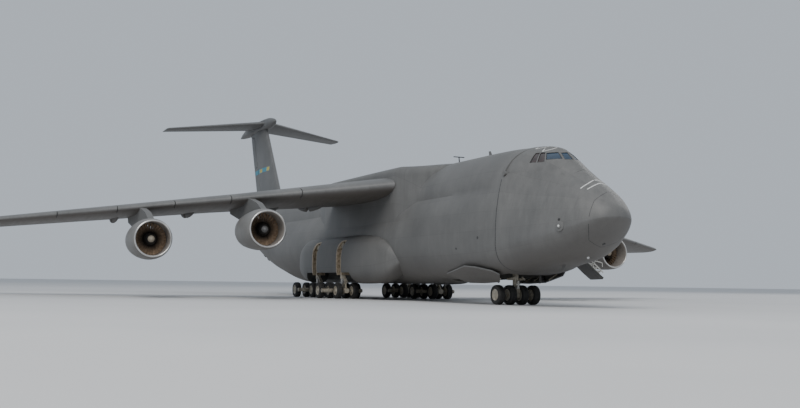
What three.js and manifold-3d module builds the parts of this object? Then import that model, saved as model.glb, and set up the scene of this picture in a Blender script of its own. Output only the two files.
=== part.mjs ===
// Heavy four-engined military transport plane: a 1:2 scale model of the full-size aircraft.
// Every length below is a full-size length in metres, and the outer group scales it to model millimetres.
// Frame: +X to the nose, +Y to port, +Z up. Stations x count forward from the nose-wheel axle, heights z from
// the ground, and the outer group moves the origin to the middle of the length.
import * as THREE from 'three'
import { mergeVertices } from 'three/addons/utils/BufferGeometryUtils.js'
import Module from 'manifold-3d'

const wasm = await Module()
wasm.setup()

// Driving dimensions, full-size metres
const modelMillimetresPerMetre = 500
const noseTipX = 10.6
const bulletRearX = -64.9
const seat = 0.0006 // gap left between pieces that sit on each other: 0.3 mm on the model
const sliver = 0.0001 // a cut's splinters are cleaned away up to 0.05 mm on the model
const running = 0.02 // gap beside a moving piece: 10 mm on the model
const halfSpan = 33.94
const wingRootY = 3.34
const wingKinkY = 13.3
const leadingSweep = 0.534 // run of the leading edge for each metre of span
const leadingTipX = -27.6
const wingDroop = 0.107 // fall of the wing for each metre of span
const wingLeadingZ = 8.74 // height of the leading edge at the centre line
const wingIncidence = THREE.MathUtils.degToRad(3.5)
const tailHalfSpan = 10.47
const tailTop = 19.85
const tyreRadius = 0.6225
const tyreWidth = 0.43
const wheelSegments = 16
const mainBogieY = 4.148
const mainBogieX = [-18.52, -24.13] // front axle of the forward and the aft bogie on each side
const bogieRearStep = 1.651 // front axle to rear axle
const bogieWheelsY = [0.673, 1.537]
const noseWheelsY = [0.432, 1.295]
const holdFloorZ = 2.5
const visorJointX = 2.8
const visorTopZ = 7.9
const deckFrontX = 7.35
const visorWall = 0.14

// Finishes
const paint = new THREE.MeshStandardMaterial({ color: 0x74777a, roughness: 0.62, metalness: 0.1 })
const darkPaint = new THREE.MeshStandardMaterial({ color: 0x5b5750, roughness: 0.7, metalness: 0.1 })
const gearPaint = new THREE.MeshStandardMaterial({ color: 0xc9c2b0, roughness: 0.5, metalness: 0.2 })
const rubber = new THREE.MeshStandardMaterial({ color: 0x1c1b1a, roughness: 0.85, metalness: 0 })
const glass = new THREE.MeshStandardMaterial({ color: 0x26384a, roughness: 0.1, metalness: 0.2 })
const blades = new THREE.MeshStandardMaterial({ color: 0x6f6358, roughness: 0.4, metalness: 0.7 })

// Solids from geometry

// A solid from a closed geometry: shared vertices merged, slivers dropped, faces turned outwards.
function solid(geometry) {
  const bare = new THREE.BufferGeometry()
  const source = geometry.index ? geometry.toNonIndexed() : geometry
  bare.setAttribute('position', source.getAttribute('position').clone())
  const merged = mergeVertices(bare, 1e-6)
  const kept = []
  for (let i = 0; i < merged.index.count; i += 3) {
    const [a, b, c] = [0, 1, 2].map((k) => merged.index.getX(i + k))
    if (a !== b && b !== c && a !== c) kept.push(a, b, c)
  }
  const build = (triangles) => new wasm.Manifold(new wasm.Mesh({
    numProp: 3,
    vertProperties: merged.attributes.position.array,
    triVerts: new Uint32Array(triangles),
  }))
  const made = build(kept)
  if (made.volume() >= 0) return made
  return build(kept.map((v, i) => kept[i % 3 === 0 ? i : i % 3 === 1 ? i + 1 : i - 1]))
}

// A skin over rings of points [x, y, z] that all have the same count, with flat ends. Faces are split
// alike on both halves of a ring, so a ring drawn alike to port and starboard gives a body that is too.
function loft(rings) {
  const count = rings[0].length
  const triangles = []
  const face = (...points) => triangles.push(...points.flat())
  for (let r = 0; r + 1 < rings.length; r++) {
    for (let i = 0; i < count; i++) {
      const j = (i + 1) % count
      const [a, b, c, d] = [rings[r][i], rings[r][j], rings[r + 1][j], rings[r + 1][i]]
      if (2 * i < count) {
        face(a, b, c)
        face(a, c, d)
      } else {
        face(a, b, d)
        face(b, c, d)
      }
    }
  }
  const [first, last] = [rings[0], rings[rings.length - 1]]
  for (let i = 1; i + 1 < count; i++) {
    face(first[0], first[i + 1], first[i])
    face(last[0], last[i], last[i + 1])
  }
  const geometry = new THREE.BufferGeometry()
  geometry.setAttribute('position', new THREE.BufferAttribute(new Float32Array(triangles), 3))
  return solid(geometry)
}

function box(x0, x1, y0, y1, z0, z1) {
  const geometry = new THREE.BoxGeometry(x1 - x0, y1 - y0, z1 - z0)
  return solid(geometry.translate((x0 + x1) / 2, (y0 + y1) / 2, (z0 + z1) / 2))
}

// An outline in the plane xy, xz or yz, drawn out along the third axis.
function prism(plane, outline, from, to) {
  const ring = (depth) => outline.map(([a, b]) => {
    if (plane === 'xy') return [a, b, depth]
    if (plane === 'xz') return [a, depth, b]
    return [depth, a, b]
  })
  return loft([ring(from), ring(to)])
}

function rod(from, to, radius, segments = 16) {
  const [a, b] = [new THREE.Vector3(...from), new THREE.Vector3(...to)]
  const along = b.clone().sub(a)
  const geometry = new THREE.CylinderGeometry(radius, radius, along.length(), segments)
  const turn = new THREE.Quaternion().setFromUnitVectors(new THREE.Vector3(0, 1, 0), along.clone().normalize())
  geometry.applyQuaternion(turn)
  return solid(geometry.translate(...a.add(b).multiplyScalar(0.5).toArray()))
}

// A profile of [radius, distance] turned about an axis: 'x' counts distance forward, 'y' to port.
function turned(profile, axis, centre, segments) {
  const geometry = new THREE.LatheGeometry(profile.map(([r, d]) => new THREE.Vector2(r, d)), segments)
  if (axis === 'x') geometry.rotateZ(-Math.PI / 2)
  return solid(geometry.translate(...centre))
}

const join = (...parts) => parts.reduce((whole, part) => whole.add(part))

// Assembly

const aircraft = new THREE.Group()
aircraft.scale.setScalar(modelMillimetresPerMetre)
aircraft.position.x = -0.5 * (noseTipX + bulletRearX) * modelMillimetresPerMetre

function piece(name, body, material, side = 1) {
  const mesh = body.simplify(sliver).getMesh()
  const positions = new Float32Array(mesh.vertProperties.length / mesh.numProp * 3)
  for (let i = 0; i < positions.length / 3; i++) {
    for (let k = 0; k < 3; k++) positions[3 * i + k] = mesh.vertProperties[mesh.numProp * i + k]
  }
  const geometry = new THREE.BufferGeometry()
  geometry.setAttribute('position', new THREE.BufferAttribute(positions, 3))
  geometry.setIndex(new THREE.BufferAttribute(new Uint32Array(mesh.triVerts), 1))
  geometry.computeVertexNormals()
  const made = new THREE.Mesh(geometry, material)
  made.name = name
  made.scale.y = side
  aircraft.add(made)
  return made
}

// The same solid on both sides: to port as drawn, to starboard mirrored.
function pair(name, body, material) {
  piece(`${name}_left`, body, material)
  piece(`${name}_right`, body, material, -1)
}

// Fuselage: two lobes that meet at a crease. Columns: station, belly, height and half width of the widest
// line, height and half width of the crease, crown, and how square the belly's corners are (2 is an ellipse).
const bodyTable = [
  { x: 10.6, belly: 4.97, wide: 5.03, half: 0.4, crease: 5.1, creaseHalf: 0.36, crown: 5.25, square: 2 },
  { x: 10.35, belly: 4.7, wide: 5, half: 0.93, crease: 5.2, creaseHalf: 0.85, crown: 5.7, square: 2 },
  { x: 9.75, belly: 4.05, wide: 4.93, half: 1.46, crease: 5.46, creaseHalf: 1.26, crown: 6.31, square: 2 },
  { x: 9.3, belly: 3.66, wide: 4.85, half: 1.75, crease: 5.67, creaseHalf: 1.43, crown: 6.64, square: 2.05 },
  { x: 8.75, belly: 3.3, wide: 4.75, half: 2, crease: 5.9, creaseHalf: 1.57, crown: 6.98, square: 2.1 },
  { x: 8.1, belly: 2.97, wide: 4.66, half: 2.25, crease: 6.14, creaseHalf: 1.68, crown: 7.38, square: 2.25 },
  { x: 7.35, belly: 2.72, wide: 4.58, half: 2.44, crease: 6.4, creaseHalf: 1.76, crown: 7.85, square: 2.4 },
  { x: 6.6, belly: 2.58, wide: 4.52, half: 2.6, crease: 6.7, creaseHalf: 1.8, crown: 8.41, square: 2.6 },
  { x: 5.35, belly: 2.43, wide: 4.45, half: 2.8, crease: 6.95, creaseHalf: 1.96, crown: 9.27, square: 2.9 },
  { x: 4.0, belly: 2.23, wide: 4.45, half: 2.98, crease: 7.03, creaseHalf: 2.42, crown: 9.6, square: 3.2 },
  { x: 2.8, belly: 1.98, wide: 4.45, half: 3.14, crease: 7.05, creaseHalf: 2.82, crown: 9.7, square: 3.5 },
  { x: -2, belly: 1.58, wide: 4.45, half: 3.42, crease: 7.05, creaseHalf: 2.78, crown: 9.8, square: 3.2 },
  { x: -6, belly: 1.44, wide: 4.45, half: 3.52, crease: 7.05, creaseHalf: 2.65, crown: 9.8, square: 3 },
  { x: -14, belly: 1.24, wide: 4.45, half: 3.57, crease: 7.05, creaseHalf: 2.5, crown: 9.8, square: 2.5 },
  { x: -36.2, belly: 1.24, wide: 4.45, half: 3.57, crease: 7.05, creaseHalf: 2.5, crown: 9.8, square: 2 },
  { x: -41.5, belly: 2.0, wide: 4.9, half: 3.42, crease: 7.15, creaseHalf: 2.45, crown: 9.8, square: 2 },
  { x: -47.1, belly: 3.3, wide: 5.75, half: 2.95, crease: 7.4, creaseHalf: 2.3, crown: 9.76, square: 2 },
  { x: -51.8, belly: 4.8, wide: 6.65, half: 2.25, crease: 7.75, creaseHalf: 1.9, crown: 9.66, square: 2 },
  { x: -55.6, belly: 6.15, wide: 7.35, half: 1.5, crease: 8.0, creaseHalf: 1.35, crown: 9.5, square: 2 },
  { x: -59.7, belly: 7.7, wide: 8.3, half: 0.45, crease: 8.5, creaseHalf: 0.42, crown: 9.1, square: 2 },
]
const bellyPoints = 7
const sidePoints = 4
const crownPoints = 6

// The body's row at a station between two rows of the table.
function bodyAt(x) {
  const after = bodyTable.findIndex((row) => row.x <= x)
  if (after <= 0) return { ...bodyTable[Math.max(after, 0)], x }
  const [a, b] = [bodyTable[after - 1], bodyTable[after]]
  const t = (a.x - x) / (a.x - b.x)
  return Object.fromEntries(Object.keys(a).map((key) => [key, a[key] + t * (b[key] - a[key])]))
}

// One closed section, from the belly up the port side and down the starboard side. A positive inset gives
// the inside face of a skin of that thickness.
function bodyRing(row, inset = 0) {
  const { x, wide } = row
  const belly = row.belly + inset
  const half = row.half - inset
  const creaseHalf = row.creaseHalf - inset
  const crown = row.crown - inset
  const rise = (row.crease - wide) / Math.sqrt(1 - (row.creaseHalf / row.half) ** 2)
  const creaseTurn = Math.acos(Math.min(creaseHalf / half, 0.999))
  const port = []
  for (let i = 1; i <= bellyPoints; i++) {
    const turn = (i / bellyPoints - 1) * Math.PI / 2
    const power = 2 / row.square
    port.push([half * Math.cos(turn) ** power, wide - (wide - belly) * (-Math.sin(turn)) ** power])
  }
  for (let i = 1; i <= sidePoints; i++) {
    const turn = creaseTurn * i / sidePoints
    port.push([half * Math.cos(turn), wide + (rise - inset) * Math.sin(turn)])
  }
  const creaseZ = port[port.length - 1][1]
  for (let i = 1; i < crownPoints; i++) {
    const turn = i / crownPoints * Math.PI / 2
    port.push([creaseHalf * Math.cos(turn), creaseZ + (crown - creaseZ) * Math.sin(turn)])
  }
  const starboard = port.map(([y, z]) => [-y, z]).reverse()
  return [[0, belly], ...port, [0, crown], ...starboard].map(([y, z]) => [x, y, z])
}

// The body from one station to another, with a skin inset and a narrowing across.
function bodyLoft(fromX, toX, inset = 0, narrow = 1) {
  const between = bodyTable.filter((row) => row.x < fromX - 1e-6 && row.x > toX + 1e-6)
  const rows = [bodyAt(fromX), ...between, bodyAt(toX)]
  return loft(rows.map((row) => bodyRing(row, inset).map(([x, y, z]) => [x, y * narrow, z])))
}

const far = 40
const above = (z) => box(-80, 20, -far, far, z, z + far)
const below = (z) => box(-80, 20, -far, far, z - far, z)

// The flight deck stands out forward of the visor's joint. Its skin is narrower than the visor's by the
// visor's wall, so the raised visor passes on both sides of it.
const deckNarrow = 0.955
const deckFloorZ = 7.62
const deckWall = 0.14
const deckTub = bodyLoft(deckFrontX, visorJointX - 0.6, 0, deckNarrow).intersect(above(deckFloorZ - 0.14))
const deckRearX = -1.2
const deckRoom = bodyLoft(deckFrontX - 0.25, deckRearX, deckWall, deckNarrow).intersect(above(deckFloorZ))

// Cargo hold: flat floor, level from the nose ramp to the aft ramp, then rising over the aft doors.
const holdOutline = [
  [-2.3, holdFloorZ], [2.3, holdFloorZ], [2.88, 3.3], [2.88, 5.9],
  [2.3, 6.6], [-2.3, 6.6], [-2.88, 5.9], [-2.88, 3.3],
]
const rampFrontX = -36.2
const rampRearX = -41.6
const petalFrontX = rampRearX - 0.04
const petalRearX = -50.2
const rampHalf = 2.3
const petalHalf = [2.2, 1.55] // at its front and rear end
const hold = prism('yz', holdOutline, -36, visorJointX + 1)
const aftHold = prism('xz', [
  [-35.9, holdFloorZ], [-35.9, 6.6], [-42, 6.6], [-50, 6.2], [-50, 5.3], [-41.9, 3.3], [-36.3, holdFloorZ],
], -2.1, 2.1)

// Doors in the belly of the tail. The ramp's rear face leans forward, so it clears the doors as it drops.
const rampTop = { front: 2.36, rear: 3.05, rearX: rampRearX + 0.32 }
const rampSide = (grow) => [
  [rampFrontX, 0], [rampFrontX, rampTop.front + grow], [rampTop.rearX - grow, rampTop.rear + grow],
  [rampRearX - grow, 1.98], [rampRearX - grow, 0],
]
const petalPlan = [
  [petalFrontX, running / 2], [petalFrontX, petalHalf[0]], [petalRearX, petalHalf[1]], [petalRearX, running / 2],
]
const petalSwing = 0.09 // how far the doors' rear corners move back as they open
const petalOpening = [
  [petalFrontX + running, -petalHalf[0] - running], [petalFrontX + running, petalHalf[0] + running],
  [petalRearX - petalSwing, petalHalf[1] + running], [petalRearX - petalSwing, -petalHalf[1] - running],
]
const petalThickness = 0.18

// Height of the belly's skin at a station and a distance from the centre line
function bellySkin(x, y) {
  const { belly, wide, half, square } = bodyAt(x)
  return wide - (wide - belly) * (1 - (y / half) ** square) ** (1 / square)
}
// The doors' hinge line lies just under the skin's edge, which bulges below a straight line at its middle.
const petalHinge = [[petalFrontX, petalHalf[0] + running / 2], [petalRearX, petalHalf[1] + running / 2]]
  .map(([x, y]) => [x, y, bellySkin(x, y) - 0.21])

// Nose-wheel bay, and the crew door behind the visor on the port side
const noseBay = { front: 1.9, rear: -5.6, half: 1.62, roof: 2.38 }
const crewDoor = { front: 2.6, rear: 1.2, sill: 3.1, head: 5.3, wall: 0.14, openBy: 130, outside: 0.03 }
const crewHinge = [crewDoor.rear, crewDoor.front].map((x) => {
  const { belly, wide, half, square } = bodyAt(x)
  const skin = half * (1 - ((wide - crewDoor.sill) / (wide - belly)) ** square) ** (1 / square)
  return [x, skin + crewDoor.outside, crewDoor.sill]
})

// Hinge knuckles on a line from a to b, each a fixed and a moving barrel end to end. The pockets are what
// each side loses to the other's barrels.
function knuckles([a, b], starts, width, radius) {
  const along = b.map((v, k) => v - a[k])
  const length = Math.hypot(...along)
  const at = (distance) => a.map((v, k) => v + along[k] / length * distance)
  const barrels = (from, to, r) => join(...starts.map((start) => rod(at(start + from), at(start + to), r, 12)))
  return {
    fixed: barrels(0, width, radius),
    moving: barrels(width + seat, 2 * width, radius),
    forFixed: barrels(-running / 2, width + seat, radius + running / 2),
    forMoving: barrels(width, 2 * width + running / 2, radius + running / 2),
  }
}

// Wing section: fractions of the chord where the skin has its edges
const flapFraction = 0.74
const chordSteps = [1, 0.87, flapFraction, 0.5, 0.3, 0.15, 0.05, 0.012, 0]

// Half thickness of a symmetric section at a fraction of its chord
function halfThickness(fraction, ratio) {
  const root = 0.2969 * Math.sqrt(fraction) - 0.126 * fraction
  return 5 * ratio * (root - 0.3516 * fraction ** 2 + 0.2843 * fraction ** 3 - 0.1036 * fraction ** 4) + 0.0008
}

// Closed outline of a section: [fraction behind the leading edge, height], both in chords.
function foil(ratio, camber = 0) {
  const top = chordSteps.map((f) => [f, halfThickness(f, ratio) + camber * Math.sin(Math.PI * f)])
  const under = chordSteps.slice(0, -1).reverse()
    .map((f) => [f, -halfThickness(f, ratio) + camber * Math.sin(Math.PI * f)])
  return [...top, ...under]
}

const wingLine = (y) => leadingTipX + leadingSweep * (halfSpan - y)
const wingFront = (y) => ({ x: wingLine(y), z: wingLeadingZ - wingDroop * y })
// Columns: distance from the centre line, chord, thickness ratio.
const wingTable = [
  { y: wingRootY, chord: 12.6, ratio: 0.125 },
  { y: wingKinkY, chord: 8.8, ratio: 0.115 },
  { y: halfSpan - 0.25, chord: 4.75, ratio: 0.11 },
  { y: halfSpan, chord: 4.2, ratio: 0.07 },
]
const wingCamber = 0.012

function wingRing(row, grow = 0) {
  const front = wingFront(row.y)
  return foil(row.ratio, wingCamber).map(([f, h]) => {
    const lift = h * row.chord + Math.sign(h) * grow
    const back = f * row.chord + (f === 0 ? -grow : 0)
    const x = front.x - back * Math.cos(wingIncidence) + lift * Math.sin(wingIncidence)
    return [x, row.y, front.z - back * Math.sin(wingIncidence) + lift * Math.cos(wingIncidence)]
  })
}
const wingSolid = (grow = 0) => loft(wingTable.map((row) => wingRing(row, grow)))

// A point of the wing at a distance out and a fraction of the chord: on the chord line, or on the underside.
function wingPoint(y, fraction, skin = 0) {
  const after = Math.max(wingTable.findIndex((row) => row.y >= y), 1)
  const [a, b] = [wingTable[after - 1], wingTable[after]]
  const at = (row) => {
    const front = wingFront(row.y)
    const camber = wingCamber * Math.sin(Math.PI * fraction)
    const lift = (camber + skin * halfThickness(fraction, row.ratio)) * row.chord
    return [
      front.x - fraction * row.chord * Math.cos(wingIncidence) + lift * Math.sin(wingIncidence),
      front.z - fraction * row.chord * Math.sin(wingIncidence) + lift * Math.cos(wingIncidence),
    ]
  }
  const t = (y - a.y) / (b.y - a.y)
  const [p, q] = [at(a), at(b)]
  return [p[0] + t * (q[0] - p[0]), y, p[1] + t * (q[1] - p[1])]
}

// Control surfaces turn on a hinge line from a to b, and their nose is a ridge on that line.
const swing = Math.tan(THREE.MathUtils.degToRad(33))
const hingeEnd = 0.08 // gap at each end, because a surface on a swept hinge shifts along it as it turns
function hingeWedge(a, b, across, depth, reach) {
  const ring = (p) => [[-seat, 0], [-depth * swing, 1], [-reach, 1], [-reach, -1], [-depth * swing, -1]]
    .map(([dx, dn]) => p.map((v, k) => v + (k === 0 ? dx : 0) + dn * depth * across[k]))
  return loft([ring(a), ring(b)])
}
function hingeCut(a, b, across, depth, reach) {
  const along = b.map((v, k) => v - a[k])
  const length = Math.hypot(...along)
  const shifted = (p, by) => p.map((v, k) => v + along[k] / length * by)
  const ring = (p) => [[0, 1], [-reach, 1], [-reach, -1], [0, -1]]
    .map(([dx, dn]) => p.map((v, k) => v + (k === 0 ? dx : 0) + dn * depth * across[k]))
  return loft([ring(shifted(a, -hingeEnd)), ring(shifted(b, hingeEnd))])
}

// Flaps turn down about the edge of the skin under their front face. Their inner ends lean outward with height,
// because the swept hinge carries the upper edge inward as the flap goes down.
const flapTable = [
  { name: 'inboard_flap', inner: 4.1, outer: 13.1, lean: 0.21 },
  { name: 'outboard_flap', inner: 13.5, outer: 23, lean: 0.3 },
]
function flapPlan(inner, outer, gap) {
  const edge = [wingPoint(inner, flapFraction), wingPoint(outer, flapFraction)]
  const at = (t, back) => {
    const y = edge[0][1] + t * (edge[1][1] - edge[0][1])
    return [edge[0][0] + t * (edge[1][0] - edge[0][0]) - back, y]
  }
  if (gap === 0) return [at(0, 0), at(1, 0), at(1, 6), at(0, 6)]
  const front = [0.12, 0.5, 0.88].flatMap((t) => [
    at(t - 0.02, gap), at(t - 0.02, seat), at(t + 0.02, seat), at(t + 0.02, gap),
  ])
  return [at(0, gap), ...front, at(1, gap), at(1, 6), at(0, 6)]
}
function planPrism(outline) {
  const shape = new THREE.Shape(outline.map(([x, y]) => new THREE.Vector2(x, y)))
  return solid(new THREE.ExtrudeGeometry(shape, { depth: 20, bevelEnabled: false }))
}

const wholeWing = wingSolid()
let wing = wholeWing
for (const { name, inner, outer, lean } of flapTable) {
  const height = wingPoint(inner, flapFraction, -1)[2]
  const leaning = prism('yz', [
    [inner - 1, height - 2], [inner, height - 2], [inner, height], [inner + 2 * lean, height + 2],
    [inner - 1, height + 2],
  ], -far, 0)
  const flap = wholeWing.intersect(planPrism(flapPlan(inner, outer, running / 2))).subtract(leaning)
  pair(name, flap, paint)
  wing = wing.subtract(planPrism(flapPlan(inner - running, outer + running, 0)))
}
const aileronSpan = [23.5, 31.2]
const aileronFraction = 0.76
const aileronHinge = aileronSpan.map((y) => wingPoint(y, aileronFraction))
const up = [0, 0, 1]
pair('aileron', wholeWing.intersect(hingeWedge(...aileronHinge, up, 0.5, 3.5)), paint)
wing = wing.subtract(hingeCut(...aileronHinge, up, 0.5, 3.5))

// Slat along the leading edge, split from the wing at a fixed fraction of the chord
const slatSpan = [5, 33.4]
const slatDepth = 0.062
const slatPlan = (grow) => [
  [wingLine(slatSpan[0]) + 1, slatSpan[0] - grow],
  [wingLine(slatSpan[1]) + 1, slatSpan[1] + grow],
  [wingPoint(slatSpan[1], slatDepth)[0] - grow, slatSpan[1] + grow],
  [wingPoint(wingKinkY, slatDepth)[0] - grow, wingKinkY],
  [wingPoint(slatSpan[0], slatDepth)[0] - grow, slatSpan[0] - grow],
]
pair('slat', wholeWing.intersect(planPrism(slatPlan(0))), paint)
wing = wing.subtract(planPrism(slatPlan(seat)))
pair('wing', wing, paint)

// Engines. Columns: distance out, inlet station, height of the shaft.
const engineTable = [
  { name: 'inner', y: 12.6, x: -12, z: 4.9 },
  { name: 'outer', y: 19.7, x: -15.8, z: 4.14 },
]
const ductRadius = 1.19
const cowl = [[1.32, -0.06], [1.45, -0.9], [1.46, -1.6], [1.36, -3.1], [1.24, -4.1], [1.2, -4.1],
  [ductRadius, -1.6], [ductRadius, -0.9], [1.16, -0.35], [1.18, -0.08], [1.25, 0], [1.32, -0.06]]
const core = [[0, -1.62], [0.42, -1.62], [0.62, -2.2], [0.9, -3.2], [0.93, -4.2], [0.78, -5.4], [0.6, -6.3],
  [0.4, -6.35], [0, -7.3]]
const fanHub = [[0, -0.62], [0.3, -0.86], [0.44, -1.12], [0.44, -1.56], [0.1, -1.56],
  [0.1, -1.62 + seat], [0, -1.62 + seat]]
const fanBlades = 20
const engineSegments = 24

function fan(centre) {
  let whole = turned(fanHub, 'x', centre, 20)
  const bladeRoot = 0.3
  const bladeTip = ductRadius - 0.035
  for (let i = 0; i < fanBlades; i++) {
    const rings = [[bladeRoot, 0.6], [bladeTip, 1.05]].map(([radius, twist]) => {
      const [half, thick] = [0.16, 0.012]
      return [[-half, -thick], [half, -thick], [half, thick], [-half, thick]].map(([u, v]) => {
        const x = -1.3 + u * Math.cos(twist) - v * Math.sin(twist)
        const side = u * Math.sin(twist) + v * Math.cos(twist)
        const turn = (i + 0.37) / fanBlades * 2 * Math.PI
        return [
          centre[0] + x,
          centre[1] + radius * Math.cos(turn) - side * Math.sin(turn),
          centre[2] + radius * Math.sin(turn) + side * Math.cos(turn),
        ]
      })
    })
    whole = whole.add(loft(rings))
  }
  return whole
}

for (const { name, x, y, z } of engineTable) {
  const centre = [x, y, z]
  const around = (profile) => turned(profile, 'x', centre, engineSegments)
  const vanes = [0.125, 0.375, 0.625, 0.875].map((turn) => {
    const angle = (turn + 0.5 / engineSegments) * 2 * Math.PI
    const [c, s] = [Math.cos(angle), Math.sin(angle)]
    return rod([x - 2.6, y + 0.6 * c, z + 0.6 * s], [x - 2.6, y + 1.26 * c, z + 1.26 * s], 0.07, 8)
  })
  pair(`${name}_engine`, join(around(cowl), around(core), ...vanes), darkPaint)
  pair(`${name}_fan`, fan(centre), blades)
  const leading = wingFront(y)
  const pylonOutline = [
    [x - 0.95, z + 1.38], [x - 2.2, z + 1.95], [leading.x + 0.12, leading.z - 0.12], [leading.x - 0.5, leading.z],
    [leading.x - 5.48, leading.z - 0.4], [leading.x - 5.1, leading.z - 0.95],
    [x - 5.8, z + 0.78], [x - 4.3, z + 0.9], [x - 3.9, z + 1.1],
  ]
  const filled = turned([[0, -0.9], [1.45 + seat, -0.9], [1.46 + seat, -1.6], [1.36 + seat, -3.1],
    [1.24 + seat, -4.1 - seat], [0.935 + seat, -4.15], [0.93 + seat, -4.2], [0.78 + seat, -5.4], [0.6 + seat, -6.3],
    [0, -6.3]], 'x', centre, engineSegments)
  const shape = new THREE.Shape(pylonOutline.map(([a, b]) => new THREE.Vector2(a, b)))
  const plate = new THREE.ExtrudeGeometry(shape, { depth: 0.44, bevelEnabled: false })
  plate.rotateX(Math.PI / 2).translate(0, y + 0.22, 0)
  pair(`${name}_pylon`, solid(plate).subtract(filled).subtract(wingSolid(seat)), paint)
}

// Wing centre box: a low fairing over the fuselage with flat sides that the wing roots close on
const fairingHalf = wingRootY - seat
const fairing = loft([
  { x: -8.6, half: 1.2, low: 8.3, top: 9.72 },
  { x: -10.2, half: 2.6, low: 7.9, top: 9.86 },
  { x: -11.6, half: fairingHalf, low: 6.9, top: 9.92 },
  { x: -24.6, half: fairingHalf, low: 6.7, top: 9.9 },
  { x: -27.5, half: 2.5, low: 7.3, top: 9.84 },
  { x: -30.5, half: 0.9, low: 8.3, top: 9.74 },
].map(({ x, half, low, top }) => {
  const edge = Math.min(0.55, half * 0.4)
  return [
    [-half, low], [half, low], [half, top - edge * 0.9], [half - edge, top - 0.12], [0, top],
    [edge - half, top - 0.12], [-half, top - edge * 0.9],
  ].map(([y, z]) => [x, y, z])
}))

// Fuselage shell
const shellLoft = bodyLoft(visorJointX, -59.7)
const petalBay = planPrism(petalOpening).intersect(below(6))
const petalKnuckles = knuckles(petalHinge, [4.4, 6.2], 0.3, 0.1)
const starboardPetalKnuckles = knuckles(petalHinge.map(([x, y, z]) => [x, -y, z]), [4.4, 6.2], 0.3, 0.1)
const crewKnuckles = knuckles(crewHinge, [0.15, 0.95], 0.15, 0.08)
const visorHinge = { x: visorJointX + 0.12, z: visorTopZ, root: 2.4, face: 2.68, radius: 0.15 }
const visorBoss = (side) => rod(
  [visorHinge.x, side * visorHinge.root, visorHinge.z],
  [visorHinge.x, side * (visorHinge.face - seat), visorHinge.z], visorHinge.radius, 16,
)
const visorPocket = join(...[1, -1].map((side) => rod(
  [visorHinge.x, side * (visorHinge.root - 0.05), visorHinge.z],
  [visorHinge.x, side * visorHinge.face, visorHinge.z], visorHinge.radius + running, 16,
)))
let shell = join(shellLoft, deckTub, fairing)
shell = shell.subtract(hold).subtract(aftHold).subtract(deckRoom)
shell = shell.subtract(prism('xz', rampSide(running), -rampHalf - running, rampHalf + running))
shell = shell.subtract(petalBay)
shell = shell.subtract(box(noseBay.rear, noseBay.front, -noseBay.half, noseBay.half, 0, noseBay.roof))
shell = shell.subtract(box(crewDoor.rear, crewDoor.front, 2.5, 5, crewDoor.sill, crewDoor.head))
for (const knuckle of [petalKnuckles, starboardPetalKnuckles, crewKnuckles]) {
  shell = shell.subtract(knuckle.forMoving).add(knuckle.fixed)
}
shell = join(shell, visorBoss(1), visorBoss(-1))

// Flight-deck windows. Columns: sides of the opening seen from above as angles from the nose, and its heights.
const windowCentreX = 3.6
const windowTable = [
  { from: 1.5, to: 11, low: 8.53, high: 9.02 },
  { from: 13, to: 36, low: 8.58, high: 9.07 },
  { from: 38.5, to: 54.5, low: 8.45, high: 9.12 },
  { from: 57, to: 76, low: 8.46, high: 9.12 },
]
for (const { from, to, low, high } of windowTable) {
  for (const side of [1, -1]) {
    const ray = (angle) => {
      const turn = angle * Math.PI / 180 * side
      return [windowCentreX + 6 * Math.cos(turn), 6 * Math.sin(turn)]
    }
    shell = shell.subtract(prism('xy', [[windowCentreX, 0], ray(from), ray(to)], low, high))
  }
}

// Nose ramp, stowed upright behind the visor and hinged under its lower edge
const noseRamp = { x: 2.95, thick: 0.24, low: 2.55 }
const noseRampOutline = [
  [-2, noseRamp.low], [2, noseRamp.low], [2.5, 3.3], [2.5, 5.9], [2.1, 6.3], [-2.1, 6.3], [-2.5, 5.9], [-2.5, 3.3],
]
const rampPin = [noseRamp.x + noseRamp.thick / 2, noseRamp.low - 0.05]
const rampPinEnds = [-1.8, 1.8].map((y) => [rampPin[0], y, rampPin[1]])
const noseRampKnuckles = knuckles(rampPinEnds, [0.1, 2.9], 0.3, 0.08)
for (const y of [-1.7, 1.1]) {
  shell = shell.add(box(visorJointX - 0.4, rampPin[0], y, y + 0.3, rampPin[1] - 0.08, rampPin[1] - 0.02))
}
shell = shell.add(noseRampKnuckles.fixed)
piece('fuselage_shell', shell, paint)
const noseRampPlate = prism('yz', noseRampOutline, noseRamp.x, noseRamp.x + noseRamp.thick)
piece('nose_ramp', noseRampPlate.subtract(noseRampKnuckles.forFixed).add(noseRampKnuckles.moving), darkPaint)

const paneFront = deckFrontX - 0.25
const outerPane = bodyLoft(paneFront, deckRearX, deckWall + seat, deckNarrow)
const innerPane = bodyLoft(paneFront - 0.05, 1.5, deckWall + 0.05, deckNarrow)
piece('flight_deck_glass', outerPane.subtract(innerPane).intersect(box(1.62, 9, -4, 4, 8.3, 9.2)), glass)

// Visor: the whole nose forward of the joint, hollow and open behind, with room cut for the flight deck
const visorOuter = bodyLoft(noseTipX, visorJointX + seat)
const visorInner = bodyLoft(noseTipX - visorWall, visorJointX - 0.1, visorWall)
const deckClear = join(
  above(visorTopZ).intersect(box(-far, deckFrontX + running, -far, far, 0, far)),
  box(visorJointX, deckFrontX + running, -1.15, 1.15, 7.5, far),
  bodyLoft(deckFrontX + running, visorJointX - 0.3, 0, deckNarrow + 0.012).intersect(above(6.7)),
)
piece('visor', visorOuter.subtract(visorInner).subtract(deckClear).subtract(visorPocket), paint)

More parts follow.
